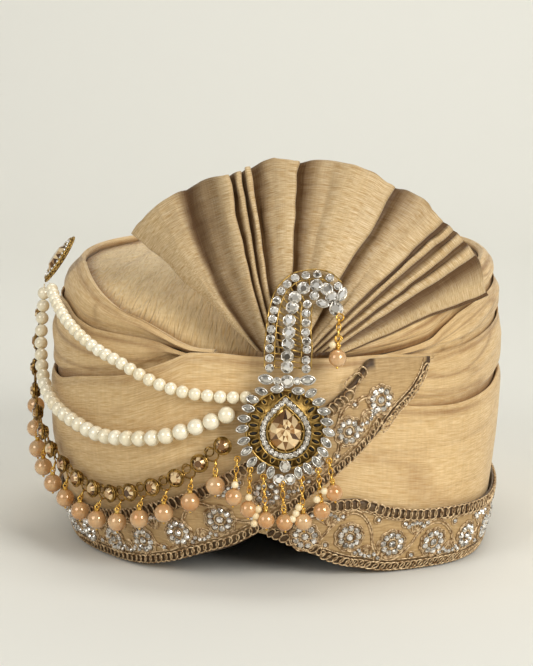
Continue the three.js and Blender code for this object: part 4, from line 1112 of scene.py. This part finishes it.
# The satin's first colour is its painted shade under the looped trims.
SATIN = tissue(
    "satin_ribbon",
    srgb(60, 38, 16),
    srgb(176, 142, 92),
    srgb(204, 172, 122),
    along=(14, 120),
    bump=0.3,
)


# The sewn border


RIBBON_START = 6
RIBBON_END = 405.7
RIBBON_FACE = 2.2
UPPER_TRIM_END = 391
LOWER_TRIM_END = 404
FLOWER_PITCH = 22.5
FLOWER_PHASE = 6.0
FLOWER_DROP = 2.0
FLOWER_PETALS = 9
FLOWER_RADIUS = 4.5


def ribbon_edges(turns):
    """Heights of the ribbon's lower and upper edges."""
    low = LOWER_AT[0](turns) + 0.8
    return low, np.maximum(BORDER_TOP_AT(turns), low + 0.4)


class Ribbon:
    """The ribbon's outer face by distance along it and distance up from its middle line."""

    def __init__(self):
        step = 0.25
        self.turn = np.arange(RIBBON_START, RIBBON_END, step)
        self.low, self.high = ribbon_edges(self.turn)
        self.level = (self.low + self.high) / 2
        line, _ = body(self.turn, self.level, LOWER_AT[2](self.turn) + RIBBON_FACE)
        flat = np.r_[0, np.cumsum(np.hypot(*np.diff(line[:, :2], axis=0).T))]
        self.run = run_along(line)
        self.slope = np.arctan2(np.gradient(self.level), np.gradient(flat))
        self.scale = np.gradient(flat) / step
        self.half = (self.high - self.low) / 2 * np.cos(self.slope)
        self.length = self.run[-1]

    def at(self, column, s):
        return np.interp(s, self.run, getattr(self, column))

    def spot(self, s, b, lift):
        s, b, lift = np.broadcast_arrays(*(np.asarray(v, float) for v in (s, b, lift)))
        slope = self.at("slope", s)
        turn = self.at("turn", s) - b * np.sin(slope) / self.at("scale", s)
        level = self.at("level", s) + b * np.cos(slope)
        place, _ = body(turn, level, LOWER_AT[2](turn) + lift)
        return place

    def axes(self, s, b, angle=0.0):
        """Rows: along, up and outward, turned by an angle in the face of the ribbon."""
        along = unit(self.spot(s + 0.5, b, 2) - self.spot(s - 0.5, b, 2))
        up = unit(self.spot(s, b + 0.5, 2) - self.spot(s, b - 0.5, 2))
        out = unit(np.cross(along, up))
        c, d = math.cos(angle), math.sin(angle)
        return np.array([c * along + d * up, c * up - d * along, out])


RIBBON = Ribbon()


def ribbon_band():
    turns = np.arange(RIBBON_START, RIBBON_END, WRAP_STEP)
    low, high = ribbon_edges(turns)
    out = LOWER_AT[2](turns)
    shares = np.linspace(0, 1, 15)
    t, share = np.meshgrid(turns, shares, indexing="ij")
    level = low[:, None] + (high - low)[:, None] * share
    pucker = 0.22 * noise(t * 0.9, share * 2, 71) + 0.12 * noise(t * 2.3, share * 5, 72)
    face, _ = body(t, level, out[:, None] + RIBBON_FACE + pucker - 0.25 * (np.abs(2 * share - 1) ** 6))
    back, _ = body(t, level, out[:, None] + 1.2 + 0 * pucker)
    loops = out_and_back(face, back)
    uv = np.stack([t * DEGREE_RUN, level], -1)
    uv = out_and_back(uv, uv)
    # Painted shade on the satin under the looped trims along both edges.
    trimmed = np.where(t < UPPER_TRIM_END, 1 - share, 1)
    edge = np.minimum(share, trimmed) * (high - low)[:, None]
    trim_shade = 0.9 * (1 - ease((edge - 4.6) / 1.2))
    obj = swept("border_ribbon", loops, uv, flip=True, fold=np.concatenate([trim_shade, trim_shade], 1))
    return dress(obj, SATIN, "satin", "border_band")


def trim_loops():
    """Rows of overlapping cord loops along both edges of the ribbon."""
    ring = round_turns(16)
    for name, node, edge, pitch, half_a, half_b, lean, last in (
        ("looped_trim_upper", "border_trim_upper", 1, 3.5, 2.1, 3.1, 0.0, UPPER_TRIM_END),
        ("looped_trim_lower", "border_trim_lower", -1, 3.2, 2.9, 1.9, 0.7, LOWER_TRIM_END),
    ):
        heap = Heap()
        start = 12 if edge > 0 else 1.5
        stop = np.interp(last, RIBBON.turn, RIBBON.run)
        for s in np.arange(start, stop, pitch):
            middle = edge * (RIBBON.at("half", s) - 2.4)
            a = half_a * np.cos(ring)
            b = half_b * np.sin(ring)
            along, up = a * math.cos(lean) - b * math.sin(lean), a * math.sin(lean) + b * math.cos(lean)
            lift = RIBBON_FACE + 0.75 + 0.42 * np.cos(ring)
            path = RIBBON.spot(s + along, middle + 0.85 * up, lift)
            out = RIBBON.axes(s, middle)[2]
            heap.add(tube(path, 0.36, 6, closed=True, hint=out))
        steps = np.arange(start, stop, 1.1)
        inner = edge * (RIBBON.at("half", steps) - 5.6)
        outward = body(RIBBON.at("turn", steps), RIBBON.at("level", steps), 0)[1]
        heap.add(tube(RIBBON.spot(steps, inner, RIBBON_FACE + 0.3), 0.3, 5, hint=outward))
        heap.build(name, CORD, "cord", node)


def flowers():
    """Stone flowers in corded outlines, sprays between them and a double cord that winds past them."""
    stones, cords = Heap(3), Heap()
    round_small = gem(circle(1.55, 8), 0.9)
    round_large = gem(circle(1.75, 8), 1.0)
    round_tiny = gem(circle(1.1, 8), 0.7)
    petals = FLOWER_PETALS
    spots = np.arange(FLOWER_PHASE, RIBBON.length - 12, FLOWER_PITCH)
    spots = spots + np.interp(RIBBON.at("turn", spots), [100, 300, 355, 375], [11.5, -3, -3, 4.5])
    spots = [s for s in spots if RIBBON.at("half", s) > 9]

    def stone(shape, s, b, angle=0.0, lift=0.75):
        stones.add(shape, RIBBON.spot(s, b, RIBBON_FACE + lift), RIBBON.axes(s, b, angle))

    def cord(s, b, wire, out, lift=0.5, closed=True, sides=5):
        cords.add(tube(RIBBON.spot(s, b, RIBBON_FACE + lift), wire, sides, closed=closed, hint=out))

    for number, s0 in enumerate(spots):
        drop = -FLOWER_DROP
        stone(round_large, s0, drop, 0.2, 1.1)
        for i in range(petals):
            turn = TAU * (i + 0.3 * (number % 3)) / petals
            at_s, at_b = s0 + FLOWER_RADIUS * math.cos(turn), drop + FLOWER_RADIUS * math.sin(turn)
            stone(round_small, at_s, at_b, turn, 0.85)
        out = RIBBON.axes(s0, drop)[2]
        around = round_turns(72)
        phase = TAU * 0.3 * (number % 3) / petals
        for size in (5.9, 6.7):
            scallop = size + 0.85 * np.abs(np.cos(petals * (around - phase) / 2))
            cord(s0 + scallop * np.cos(around), drop + scallop * np.sin(around), 0.34, out)
        inner = round_turns(24)
        cord(s0 + 2.5 * np.cos(inner), drop + 2.5 * np.sin(inner), 0.42, out, 0.6)
        spoke = np.array([2.6, 6.2])
        for i in range(petals):
            turn = phase + TAU * (i + 0.5) / petals
            at_s, at_b = s0 + spoke * math.cos(turn), drop + spoke * math.sin(turn)
            cord(at_s, at_b, 0.36, out, closed=False, sides=4)
    loop, ring = round_turns(14), round_turns(20)
    for number, (s0, s1) in enumerate(zip(spots[:-1], spots[1:])):
        side = 1 if number % 2 == 0 else -1
        middle = (s0 + s1) / 2
        room = RIBBON.at("half", middle) - 5.4
        out = RIBBON.axes(middle, 0)[2]
        root = side * (room - 6.5)
        for step in (-2, -1, 0, 1, 2):
            lean = 0.42 * step
            tip_s, tip_b = middle + 5.6 * math.sin(lean), root + side * 5.6 * math.cos(lean)
            stone(round_tiny, tip_s, tip_b, lean, 0.75)
            long_way, wide_way = 2.9 * np.cos(loop) + 3.0, 0.85 * np.sin(loop)
            s_loop = middle + long_way * math.sin(lean) + wide_way * math.cos(lean)
            b_loop = root + side * (long_way * math.cos(lean) - wide_way * math.sin(lean))
            cord(s_loop, b_loop, 0.3, out, 0.45)
        for ds, b in ((0, -side * (room - 1.9)), (-6.2, side * (room - 1.2)), (6.2, side * (room - 1.2))):
            stone(round_tiny, middle + ds, b, 0, 0.8)
            cord(middle + ds + 1.9 * np.cos(ring), b + 1.9 * np.sin(ring), 0.32, out)
    steps = np.arange(max(2.0, spots[0] - 8), spots[-1] + 8, 0.8)
    outward = body(RIBBON.at("turn", steps), RIBBON.at("level", steps), 0)[1]
    wave = -np.cos(np.pi * (steps - spots[0]) / FLOWER_PITCH)
    wave = np.sign(wave) * np.abs(wave) ** 0.8
    swing = np.maximum(RIBBON.at("half", steps) - 5.7, 1)
    for shift in (-0.75, 0.75):
        cord(steps, wave * (swing - 0.4) + shift, 0.42, outward, 0.45, closed=False)
    stones.build("border_stones", CLEAR_STONE, "champagne_stone", smooth_shade=False)
    cords.build("border_embroidery", CORD, "cord")


ribbon_band()
trim_loops()
flowers()


# Strands, chain and their drops: azimuth, height, offset of the thread
UPPER_STRAND = [
    (4.6, 89.9, 7.2),
    (0, 89.6, 7.4),
    (-4.6, 89.9, 7.6),
    (-10.4, 91.1, 8),
    (-16, 93.7, 7.8),
    (-21.5, 97.7, 7.2),
    (-27.3, 102, 6.2),
    (-33.9, 105.4, 5),
    (-40, 109.4, 4.6),
    (-47.8, 115, 4.6),
    (-52.5, 118.6, 4.6),
    (-57.6, 122, 4.8),
    (-62.7, 125.5, 5.6),
    (-67, 128, 7),
]
LOWER_STRAND = [
    (0.6, 83.4, 8.2),
    (-2.4, 80, 8.4),
    (-8.6, 74.6, 8.8),
    (-16.1, 69.1, 9.2),
    (-27.3, 65.6, 7.4),
    (-35.1, 65.2, 5.8),
    (-43.6, 68.3, 5.4),
    (-51.6, 71.9, 5.4),
    (-57.5, 76, 5.4),
    (-63, 82, 5.4),
    (-67, 92, 5.4),
    (-69.5, 104, 5.4),
    (-71, 116, 6.2),
    (-71.5, 126, 8.4),
]
STONE_CHAIN = [
    (1, 71, 10),
    (-2.9, 65.7, 8.8),
    (-8.8, 55.7, 8.4),
    (-15.5, 47.4, 8.2),
    (-22.8, 41.7, 7.6),
    (-30.1, 37.4, 6.6),
    (-37.9, 36, 5),
    (-45.5, 38.3, 4.4),
    (-52.3, 42.9, 4.4),
    (-59, 49, 5.4),
    (-65.5, 57.5, 6.6),
    (-70.5, 68, 7.6),
    (-74, 80, 8),
    (-76.5, 94, 7.4),
    (-77.5, 108, 7),
    (-77, 121, 8.6),
]
CUP_DIAMETER = 9.6
CUP_PITCH = 14.6
CHAIN_START = 2.5
DROP_PEARL = 9.2
DROP_HANG = 15.6
DROP_GAP = 2.4


def thread(rows):
    """Places on a string by distance along it, and its length."""
    knots = [body(*row)[0] for row in rows]
    line = spline(knots, 1500)
    run = run_along(line)

    def at(distance):
        return evenly(line, run, distance)

    return at, run[-1]


def strand(name, node, rows, size_at):
    at, length = thread(rows)
    heap = Heap()
    here = size_at(0) / 2
    while here + size_at(here / length) / 2 < length:
        size = size_at(here / length)
        heap.add(ball(size / 2, 14, 20), at(here))
        here += size * 0.985
    line = at(np.linspace(0, length, 120))
    heap.add(tube(line, 0.35, 5))
    heap.build(name, CREAM_PEARL, "cream_pearl", node)


def small_link(heap, start, end, wire=0.34, size=1.5):
    """Links of a fine chain from one place to another, each turned against the last."""
    start, end = np.asarray(start, float), np.asarray(end, float)
    length = np.linalg.norm(end - start)
    along = (end - start) / max(length, 1e-9)
    side = unit(np.cross(along, [0.0, 1.0, 0.2]))
    other = np.cross(along, side)
    count = max(1, round(length / (1.55 * size)))
    for i in range(count):
        centre = start + (end - start) * (i + 0.5) / count
        axes = np.array([along, side if i % 2 else other, other if i % 2 else side])
        shape = wire_ring(size, wire, 12, 5)
        shape = (shape[0] * [1.0, 0.55, 1.0], shape[1])
        heap.add(shape, centre, axes)


def pearl_drop(pearls, metal, top, centre, radius, down):
    """Pearl on a wire with a gold cap and foot; down is the direction in which it hangs."""
    down = unit(np.asarray(down, float))
    side = unit(np.cross(down, [0.3, 1.0, 0.1]))
    other = np.cross(down, side)
    pearls.add(ball(radius, 12, 18), centre)
    crown_top = centre - down * radius
    metal.add(tube([crown_top - down * 1.3, crown_top + down * 0.35], [0.75, 1.5], 8, hint=side))
    metal.add(ball(0.62, 6, 8), centre + down * (radius + 0.25))
    small_link(metal, top, crown_top - down * 0.8, 0.44, 1.9)
    metal.add(wire_ring(1.1, 0.36, 12, 5), crown_top - down * 1.5, np.array([down, side, other]))


def stone_cup(metal, stones, centre, along, across, normal):
    """Deep tapered cup with an openwork side, wire rims and a stone."""
    axes = np.array([along, across, normal])
    metal.add(plate(circle(2.3, 20), -2.2, -1.7), centre, axes)
    metal.add(plate(circle(3.3, 20), 0.2, 0.8), centre, axes)
    for radius, depth, wire in ((2.5, -1.9, 0.42), (3.6, -0.2, 0.42), (4.1, 1.1, 0.5), (3.6, 1.7, 0.32)):
        metal.add(wire_ring(radius, wire, 24, 6), centre + normal * depth, axes)
    for k in range(12):
        turn = TAU * (k + 0.5) / 12
        direction = along * math.cos(turn) + across * math.sin(turn)
        bar = [centre + direction * 2.5 - normal * 1.9, centre + direction * 4.0 + normal * 1.0]
        metal.add(tube(bar, 0.4, 5, hint=np.cross(direction, normal)))
    stones.add(gem(circle(3.3, 10), 1.5, 0.55, 0.4), centre + normal * 1.5, axes)


def stone_chain():
    at, length = thread(STONE_CHAIN)
    count = int((length - CHAIN_START - CUP_DIAMETER) // CUP_PITCH) + 1
    metal, stones = Heap(), Heap(7)
    pearls, wires = Heap(), Heap()

    def frame_at(here):
        centre = at(here)
        along = unit(at(min(here + 0.3, length)) - at(here - 0.3))
        across = unit(np.cross(along, unit(centre * [1, 1, 0])))
        return centre, along, across, unit(np.cross(across, along))

    places = [CHAIN_START + CUP_DIAMETER / 2 + i * CUP_PITCH for i in range(count)]
    for here in places:
        stone_cup(metal, stones, *frame_at(here))
    middles = [frame_at(here - CUP_PITCH / 2) for here in places[1:]]
    for centre, along, across, normal in middles:
        axes = np.array([along, across, normal])
        metal.add(wire_ring(3.1, 0.42, 22, 6), centre - across * 0.6, axes)
        metal.add(wire_ring(2.2, 0.36, 18, 6), centre + across * 1.4 + normal * 0.5, axes)
        for side in (-1, 1):
            metal.add(ball(0.75, 6, 8), centre + side * along * 3.0 - across * 0.4)
    for centre, along, across, normal in middles[:-2]:
        steep = abs(along[2])
        aside = DROP_GAP + 7.6 * steep**3
        proud = 3.8 - 5.8 * steep * abs(normal[0])
        hook = centre - across * aside + normal * proud
        low = hook - np.array([0, 0, DROP_HANG - DROP_PEARL / 2])
        pearl_drop(pearls, wires, centre - across * 3.6 + normal * 0.6, low, DROP_PEARL / 2, low - hook)
    names = [f"chain_drop_{i + 1:02d}" for i in range(len(middles) - 2)]
    metal.build("chain_cups", CHAIN_GOLD, "old_gold", "stone_chain")
    stones.build("chain_stones", CHAMPAGNE, "champagne_stone", smooth_shade=False)
    pearls.build("chain_drop_pearls", PEACH_PEARL, "peach_pearl", *names)
    wires.build("chain_drop_wires", LINK_GOLD, "old_gold")


strand("pearl_string_upper", "pearl_strand_upper", UPPER_STRAND, lambda t: 6.2)
strand("pearl_string_lower", "pearl_strand_lower", LOWER_STRAND, lambda t: 8.2 - 1.7 * t)
stone_chain()


# The brooch in its own plane: u to the right, v up from the centre of its large stone, and depth to the front
BROOCH_PLACE = np.array([21.8, -145.6, 76.3])
BROOCH_TURN = math.radians(9)
BROOCH_TILT = math.radians(-2)
PLUME_BEND_START = 26
PLUME_BEND = 0.0065
PLUME_SINK = 0.163
PEAR = (-7.5, 7.5, 9.2, -10.2)
# Round stones of the plume's three rows: u, v
PLUME_OUTER = [
    (-7.4, 28.2),
    (-7.4, 32.9),
    (-7.4, 37.5),
    (-7, 42.1),
    (-6.6, 46.4),
    (-6, 51.3),
    (-5.2, 55.5),
    (-4, 60.1),
    (-2, 64.7),
    (0.8, 68),
    (4.5, 71),
    (9.5, 72.2),
    (14.9, 72.7),
    (20.7, 71),
    (24.5, 67),
]
PLUME_MIDDLE = [
    (0.7, 28.7),
    (0.8, 33.7),
    (1.2, 39.6),
    (1.5, 45),
    (1.7, 50.6),
    (3.1, 56.8),
    (4.4, 61.6),
    (8.4, 66),
    (14.5, 67.4),
    (19.2, 65.6),
    (21.5, 61.8),
]
PLUME_INNER = [
    (9.5, 27.8),
    (9.5, 32),
    (9.9, 37),
    (9.7, 40.8),
    (9.3, 45),
    (9.5, 49.6),
    (9.5, 54),
    (10.1, 58.3),
]
# Petals of the ring: u, v, angle of the long axis
PETALS = [
    (-15.3, 13.7, -15),
    (-17.2, 9.4, -10),
    (-19.2, 4.6, -4),
    (-20.1, -0.2, 14),
    (-19.4, -5.9, 20),
    (-18.1, -10.7, 35),
    (-15.6, -15.9, 45),
    (-11.2, -18.7, 60),
    (-6.9, -20.8, 75),
    (15.5, 12.5, 12),
    (17.8, 8, -5),
    (19.2, 3.1, -10),
    (20, -1.8, -25),
    (18.9, -6.7, -45),
    (17.4, -11.1, -40),
    (14.5, -15.8, -55),
    (10.3, -18.9, -60),
    (6, -21, -80),
    (-11.2, 17.4, -15),
    (-3.9, 18.4, 5),
    (5.9, 17.6, -5),
    (11.8, 16.6, 30),
]
LARGE_PETALS = [(-9.1, 23, -10), (10.3, 22.6, 5)]
# Length and width of a petal
PETAL_SIZE = (5.9, 3.3)
LARGE_PETAL_SIZE = (7.2, 4.4)
# Round stones above and below the ring: u, v, radius
ROUND_STONES = [
    (0.8, 22, 2.7),
    (-3.9, 22.2, 1.5),
    (5.4, 22.2, 1.5),
    (-3.1, -24.3, 2.3),
    (2.1, -24, 2.3),
]
# Tassels: u, v of the loop, u, v of the pearl
TASSELS = [
    (-22.3, -14.4, -24, -32.1),
    (-16.4, -19.4, -17.2, -37.8),
    (-10.2, -22.8, -9, -43),
    (-1.6, -26.2, -0.3, -44),
    (7.5, -23.8, 8.4, -43.8),
    (15.3, -19.8, 16.9, -38.6),
    (20.3, -15.3, 22.6, -30),
]
HOOK = (24.8, 51.8)
HOOK_PEARL = (24.0, 33.0)
SEED_PEARLS = [
    (-23.4, -26),
    (-17, -32),
    (-12.7, -37.6),
    (-13.9, -40.7),
    (-14.6, -44.3),
    (6.1, -36.7),
    (4.9, -39.5),
    (3.4, -42.2),
    (18.1, -29),
    (14.6, -33),
]


def tilted(u, v, behind, place, turn, tilt):
    """Points of a tilted and turned plane, by places along it, up it and behind it."""
    c, s = math.cos(tilt), math.sin(tilt)
    y, z = behind * c - v * s, behind * s + v * c
    c, s = math.cos(turn), math.sin(turn)
    return np.stack([u * c - y * s, u * s + y * c, z], -1) + place


def jewel(points):
    """From u, v and depth in the brooch's plane to the turban's own axes."""
    points = np.asarray(points, float)
    u, v = points[..., 0], points[..., 1]
    above = np.maximum(0, v - PLUME_BEND_START)
    back = PLUME_BEND * above * above
    behind = -points[..., 2] + back
    return tilted(u, v - PLUME_SINK * back, behind, BROOCH_PLACE, BROOCH_TURN, BROOCH_TILT)


def turned(angle):
    c, s = math.cos(angle), math.sin(angle)
    return np.array([[c, s, 0], [-s, c, 0], [0, 0, 1]])


def set_stone(metal, stones, outline, u, v, depth, height, angle=0.0, rim=0.34):
    """A stone in its own cup, with a wire round its girdle."""
    metal.add(plate(1.08 * outline, 0.2, depth), (u, v, 0), turned(angle), jewel)
    metal.add(flat_wire(1.1 * outline, depth, rim, 5), (u, v, 0), turned(angle), jewel)
    stones.add(gem(outline, height), (u, v, depth + 0.05), turned(angle), jewel)


# Rings of a domed stone: share of its outline and of its height
CABOCHON_RINGS = [(0.96, -0.4), (1.0, 0.0), (0.9, 0.42), (0.7, 0.74), (0.4, 0.94)]


def cabochon(outline, height):
    """Smooth domed stone on an outline (n, 2)."""
    n = len(outline)
    rings = [np.c_[size * outline, np.full(n, depth * height)] for size, depth in CABOCHON_RINGS]
    points = np.vstack([*rings, [[0, 0, height]]])
    faces = [list(reversed(range(n)))]
    faces += grid_faces(len(rings), n, close_columns=True, flip=True)
    last = (len(rings) - 1) * n
    faces += [[last + i, last + (i + 1) % n, len(points) - 1] for i in range(n)]
    return points, faces


def set_petal(silver, domes, length, width, u, v, angle):
    """Petal: a domed stone in a bright raised rim."""
    outline = marquise(length, width, 16)
    silver.add(plate(1.04 * outline, 0.4, 2.0), (u, v, 0), turned(angle), jewel)
    silver.add(flat_wire(0.98 * outline, 2.2, 0.42), (u, v, 0), turned(angle), jewel)
    domes.add(cabochon(0.86 * outline, 1.0), (u, v, 2.1), turned(angle), jewel)


def brooch():
    metal, silver, dark = Heap(), Heap(), Heap()
    stones, domes, champagne = Heap(11), Heap(), Heap(12)
    for grow, top, bottom in ((12.4, 15.7, -15.0), (8.6, 10.6, -11.2)):
        edge = pear(-grow, grow, top, bottom, 64)
        metal.add(flat_wire(edge, 2.2, 0.42), place=jewel)
    metal.add(plate(pear(-12.2, 12.2, 15.5, -14.8, 48), 0.5, 1.9), place=jewel)
    for u, v in pear(-10.6, 10.6, 13.2, -13.1, 30):
        silver.add(flat_wire(circle(1.22, 12), 2.3, 0.2, 5), (u, v, 0), None, jewel)
        stones.add(gem(circle(1.15, 8), 0.8), (u, v, 2.3), None, jewel)
    metal.add(plate(circle(18.2, 60) - [0, 0.6], 0.2, 0.8), place=jewel)
    slots = 24
    for i in range(slots):
        angle = TAU * (i + 0.5) / slots
        middle = 15.0 if math.sin(angle) < 0.7 else 16.2
        slot = marquise(4.8, 2.3, 14) if math.sin(angle) < 0.7 else marquise(3.0, 2.0, 14)
        slot = np.sign(slot) * np.abs(slot) ** 0.8 * (0.5 * np.abs(slot).max(0)) ** 0.2
        u, v = middle * math.cos(angle), middle * math.sin(angle) - 0.6
        # Each slot is a near-black plate: painted shade where the slot opens onto shaded cloth.
        dark.add(plate(slot, 0.7, 1.0), (u, v, 0), turned(angle), jewel)
        metal.add(flat_wire(1.08 * slot, 1.1, 0.33, 5), (u, v, 0), turned(angle), jewel)
    loop = circle(18.4, 60) - [0, 0.6]
    metal.add(flat_wire(loop, 1.5, 0.6), place=jewel)
    for size, rows in ((PETAL_SIZE, PETALS), (LARGE_PETAL_SIZE, LARGE_PETALS)):
        for u, v, degrees in rows:
            set_petal(silver, domes, *size, u, v, math.radians(degrees))
    for u, v, radius in ROUND_STONES:
        set_stone(silver, stones, circle(radius, 10), u, v, 2.0, 0.4 * radius)
    set_stone(silver, stones, pear(-2.2, 2.2, 3.0, -2.8, 12), -0.2, -17.6, 2.2, 1.2)
    plume(metal, silver, stones)
    outline = pear(*PEAR, 12)
    champagne.add(gem(outline, 2.8, 0.6, 1.2, star=True), (0, 0, 2.6), None, jewel)
    for u, v in 1.05 * outline:
        metal.add(ball(0.6, 5, 6), (u, v, 3.0), None, jewel)
    metal.build("brooch_setting", OLD_GOLD, "old_gold", "brooch_frame")
    silver.build("brooch_rims", SILVER, "old_gold")
    dark.build("brooch_slot_shade", SLOT_SHADE, "old_gold")
    stones.build("brooch_stones", CLEAR_STONE, "champagne_stone", smooth_shade=False)
    domes.build("brooch_petals", DOME_STONE, "champagne_stone")
    champagne.build("pear_cut_stone", CHAMPAGNE, "champagne_stone", "pear_stone", smooth_shade=False)


def plume(metal, silver, stones):
    for row, radius in ((PLUME_OUTER, 1.7), (PLUME_MIDDLE, 2.65), (PLUME_INNER, 1.75)):
        for u, v in row:
            set_stone(silver, stones, circle(radius, 8), u, v, 1.9, 0.5 * radius, 0.3, 0.3)
    outer, middle, inner = (spline(row, 40) for row in (PLUME_OUTER, PLUME_MIDDLE, PLUME_INNER))
    for line, offset in ((outer, 2.3), (outer, -2.3), (inner, 2.3), (inner, -2.4)):
        ahead = unit(np.gradient(line, axis=0))
        edge = line + offset * np.stack([-ahead[:, 1], ahead[:, 0]], -1)
        metal.add(tube(np.c_[edge, np.full(40, 1.3)], 0.4, 5), place=jewel)
    for i in range(0, 40, 2):
        metal.add(tube(np.array([[*outer[i], 0.9], [*middle[i], 1.0]]), 0.42, 5), place=jewel)
        if i < 28:
            bar = np.array([[*middle[i], 1.0], [*inner[round(i * 39 / 27)], 0.9]])
            metal.add(tube(bar, 0.42, 5), place=jewel)
    set_stone(silver, stones, marquise(6.4, 3.6), 26.3, 63, 2.0, 1.1, math.radians(65))
    set_stone(silver, stones, pear(-2.8, 2.8, 3.6, -3.2, 12), 23.4, 56.5, 2.0, 1.3, 0.2)
    set_stone(silver, stones, marquise(5.6, 3.2), 17.2, 58.6, 2.0, 1.1, math.radians(-15))
    set_stone(silver, stones, circle(1.9, 8), 13.4, 62.4, 1.9, 0.9)


def tassels():
    pearls, seeds, wires = Heap(), Heap(), Heap()
    depth = 4.2
    for u, v, pearl_u, pearl_v in TASSELS:
        top = jewel([u, v, 2.4])
        centre = jewel([pearl_u, pearl_v, depth])
        wires.add(wire_ring(1.3, 0.36, 12, 5), (u, v, 2.2), None, jewel)
        pearl_drop(pearls, wires, top, centre, 4.1, centre - top)
    for u, v in SEED_PEARLS:
        seeds.add(ball(1.75, 9, 12), jewel([u, v, depth + 1.2]))
        wires.add(ball(0.45, 5, 6), jewel([u, v + 1.9, depth + 1.2]))
    names = [f"tassel_{i + 1}" for i in range(len(TASSELS))]
    hook, drop_centre = jewel([*HOOK, 2.2]), jewel([*HOOK_PEARL, 3.2])
    pearl_drop(pearls, wires, hook, drop_centre, 4.2, drop_centre - hook)
    seeds.add(ball(1.65, 9, 12), jewel([21.7, 39.3, 3.8]))
    wires.add(wire_ring(1.7, 0.4, 14, 5), (25.2, 52.1, 2.2), None, jewel)
    wires.add(wire_ring(1.6, 0.4, 14, 5), (24.5, 42.1, 2.8), None, jewel)
    pearls.build("tassel_pearls", PEACH_PEARL, "peach_pearl", *names, "hook_drop")
    seeds.build("tassel_seed_pearls", SEED_PEARL, "cream_pearl")
    wires.build("tassel_links", LINK_GOLD, "old_gold")


SIDE_PLACE = np.array([-110.5, -40.0, 138.0])
SIDE_TURN = math.radians(-70)
SIDE_TILT = math.radians(-34)


def side_plane(points):
    points = np.asarray(points, float)
    return tilted(points[..., 0], points[..., 1], -points[..., 2], SIDE_PLACE, SIDE_TURN, SIDE_TILT)


def side_brooch():
    metal, stones, champagne = Heap(), Heap(21), Heap(22)
    oval = np.array([5.3, 8.5])
    metal.add(plate(circle(1, 36) * [7.4, 10.6], 0.2, 2.2), place=side_plane)
    for size, depth, wire in ((1.08, 2.6, 0.45), (1.44, 2.2, 0.5)):
        metal.add(flat_wire(circle(1, 48) * oval * size, depth, wire), place=side_plane)
    for u, v in circle(1, 26, 0.5) * oval * [1.27, 1.2]:
        stones.add(gem(circle(1.0, 8), 0.7), (u, v, 2.5), None, side_plane)
    for u, v in circle(1, 30) * [9.0, 12.6]:
        metal.add(wire_ring(1.05, 0.42, 10, 5), (u, v, 1.2), None, side_plane)
    for u, v in circle(1, 30, 0.5) * [8.2, 11.7]:
        metal.add(ball(0.7, 6, 8), (u, v, 1.7), None, side_plane)
    champagne.add(gem(circle(1, 14) * oval, 2.3, 0.62, 1.0, star=True), (0, 0, 2.5), None, side_plane)
    metal.build("side_brooch_setting", OLD_GOLD, "old_gold", "side_brooch_frame")
    stones.build("side_brooch_rhinestones", CLEAR_STONE, "champagne_stone", smooth_shade=False)
    champagne.build("side_brooch_oval", CHAMPAGNE, "champagne_stone", "side_brooch_stone", smooth_shade=False)


brooch()
tassels()
side_brooch()


# Stage


def stage():
    size, bend_start, bend = 4.0, 1.1, 0.9
    profile = [(-size, 0.0), (bend_start, 0.0)]
    for i in range(1, 17):
        angle = math.pi / 2 * i / 16
        profile.append((bend_start + bend * math.sin(angle), bend * (1 - math.cos(angle))))
    profile.append((bend_start + bend, size))
    points, faces = [], []
    for y, z in profile:
        points += [(-size * 1000, y * 1000, z * 1000), (size * 1000, y * 1000, z * 1000)]
    for i in range(len(profile) - 1):
        faces.append([2 * i, 2 * i + 1, 2 * i + 3, 2 * i + 2])
    floor = new_mesh("floor", np.array(points) - SHIFT, faces)
    material, _, shader = nodes_of("pale_floor")
    settings(shader, Base_Color=srgb(232, 231, 223), Roughness=0.75, Specular_IOR_Level=0.2)
    floor.data.materials.append(material)


def area_light(name, place, target, size, power, colour):
    light = bpy.data.lights.new(name, "AREA")
    light.shape = "DISK"
    light.size = size
    light.energy = power
    light.color = colour
    obj = bpy.data.objects.new(name, light)
    obj.location = place
    obj.rotation_euler = (Vector(target) - Vector(place)).to_track_quat("-Z", "Y").to_euler()
    bpy.context.scene.collection.objects.link(obj)


# Lamps: name, place, target, size, power, colour
LAMPS = [
    ("key", (1.5, -1.3, 1.0), (0, 0, 0.09), 1.15, 30, (1.0, 0.985, 0.96)),
    ("front", (-1.4, -1.9, 1.2), (0, 0, 0.1), 1.6, 17, (1.0, 0.985, 0.965)),
    ("back", (0.2, 0.6, 2.4), (0, 2.2, 0.4), 1.4, 21, (1.0, 0.99, 0.965)),
]
# The photograph's point of view, in metres and degrees
CAMERA_PLACE = (0.1829, -1.1615, 0.2925)
CAMERA_PITCH = 80.6
CAMERA_AZIMUTH = 9
CAMERA_LENS = 123.03


def lights():
    for lamp in LAMPS:
        area_light(*lamp)
    world = bpy.data.worlds.new("studio")
    world.use_nodes = True
    background = world.node_tree.nodes["Background"]
    background.inputs[0].default_value = (1.0, 0.985, 0.955, 1)
    background.inputs[1].default_value = 0.36
    bpy.context.scene.world = world


def camera():
    data = bpy.data.cameras.new("photo_view")
    data.lens = CAMERA_LENS
    data.sensor_width = 36
    data.clip_start = 0.05
    obj = bpy.data.objects.new("photo_view", data)
    obj.location = CAMERA_PLACE
    obj.rotation_euler = (math.radians(CAMERA_PITCH), 0, math.radians(CAMERA_AZIMUTH))
    bpy.context.scene.collection.objects.link(obj)
    bpy.context.scene.camera = obj


stage()
lights()
camera()
bpy.context.scene.view_settings.view_transform = "Standard"
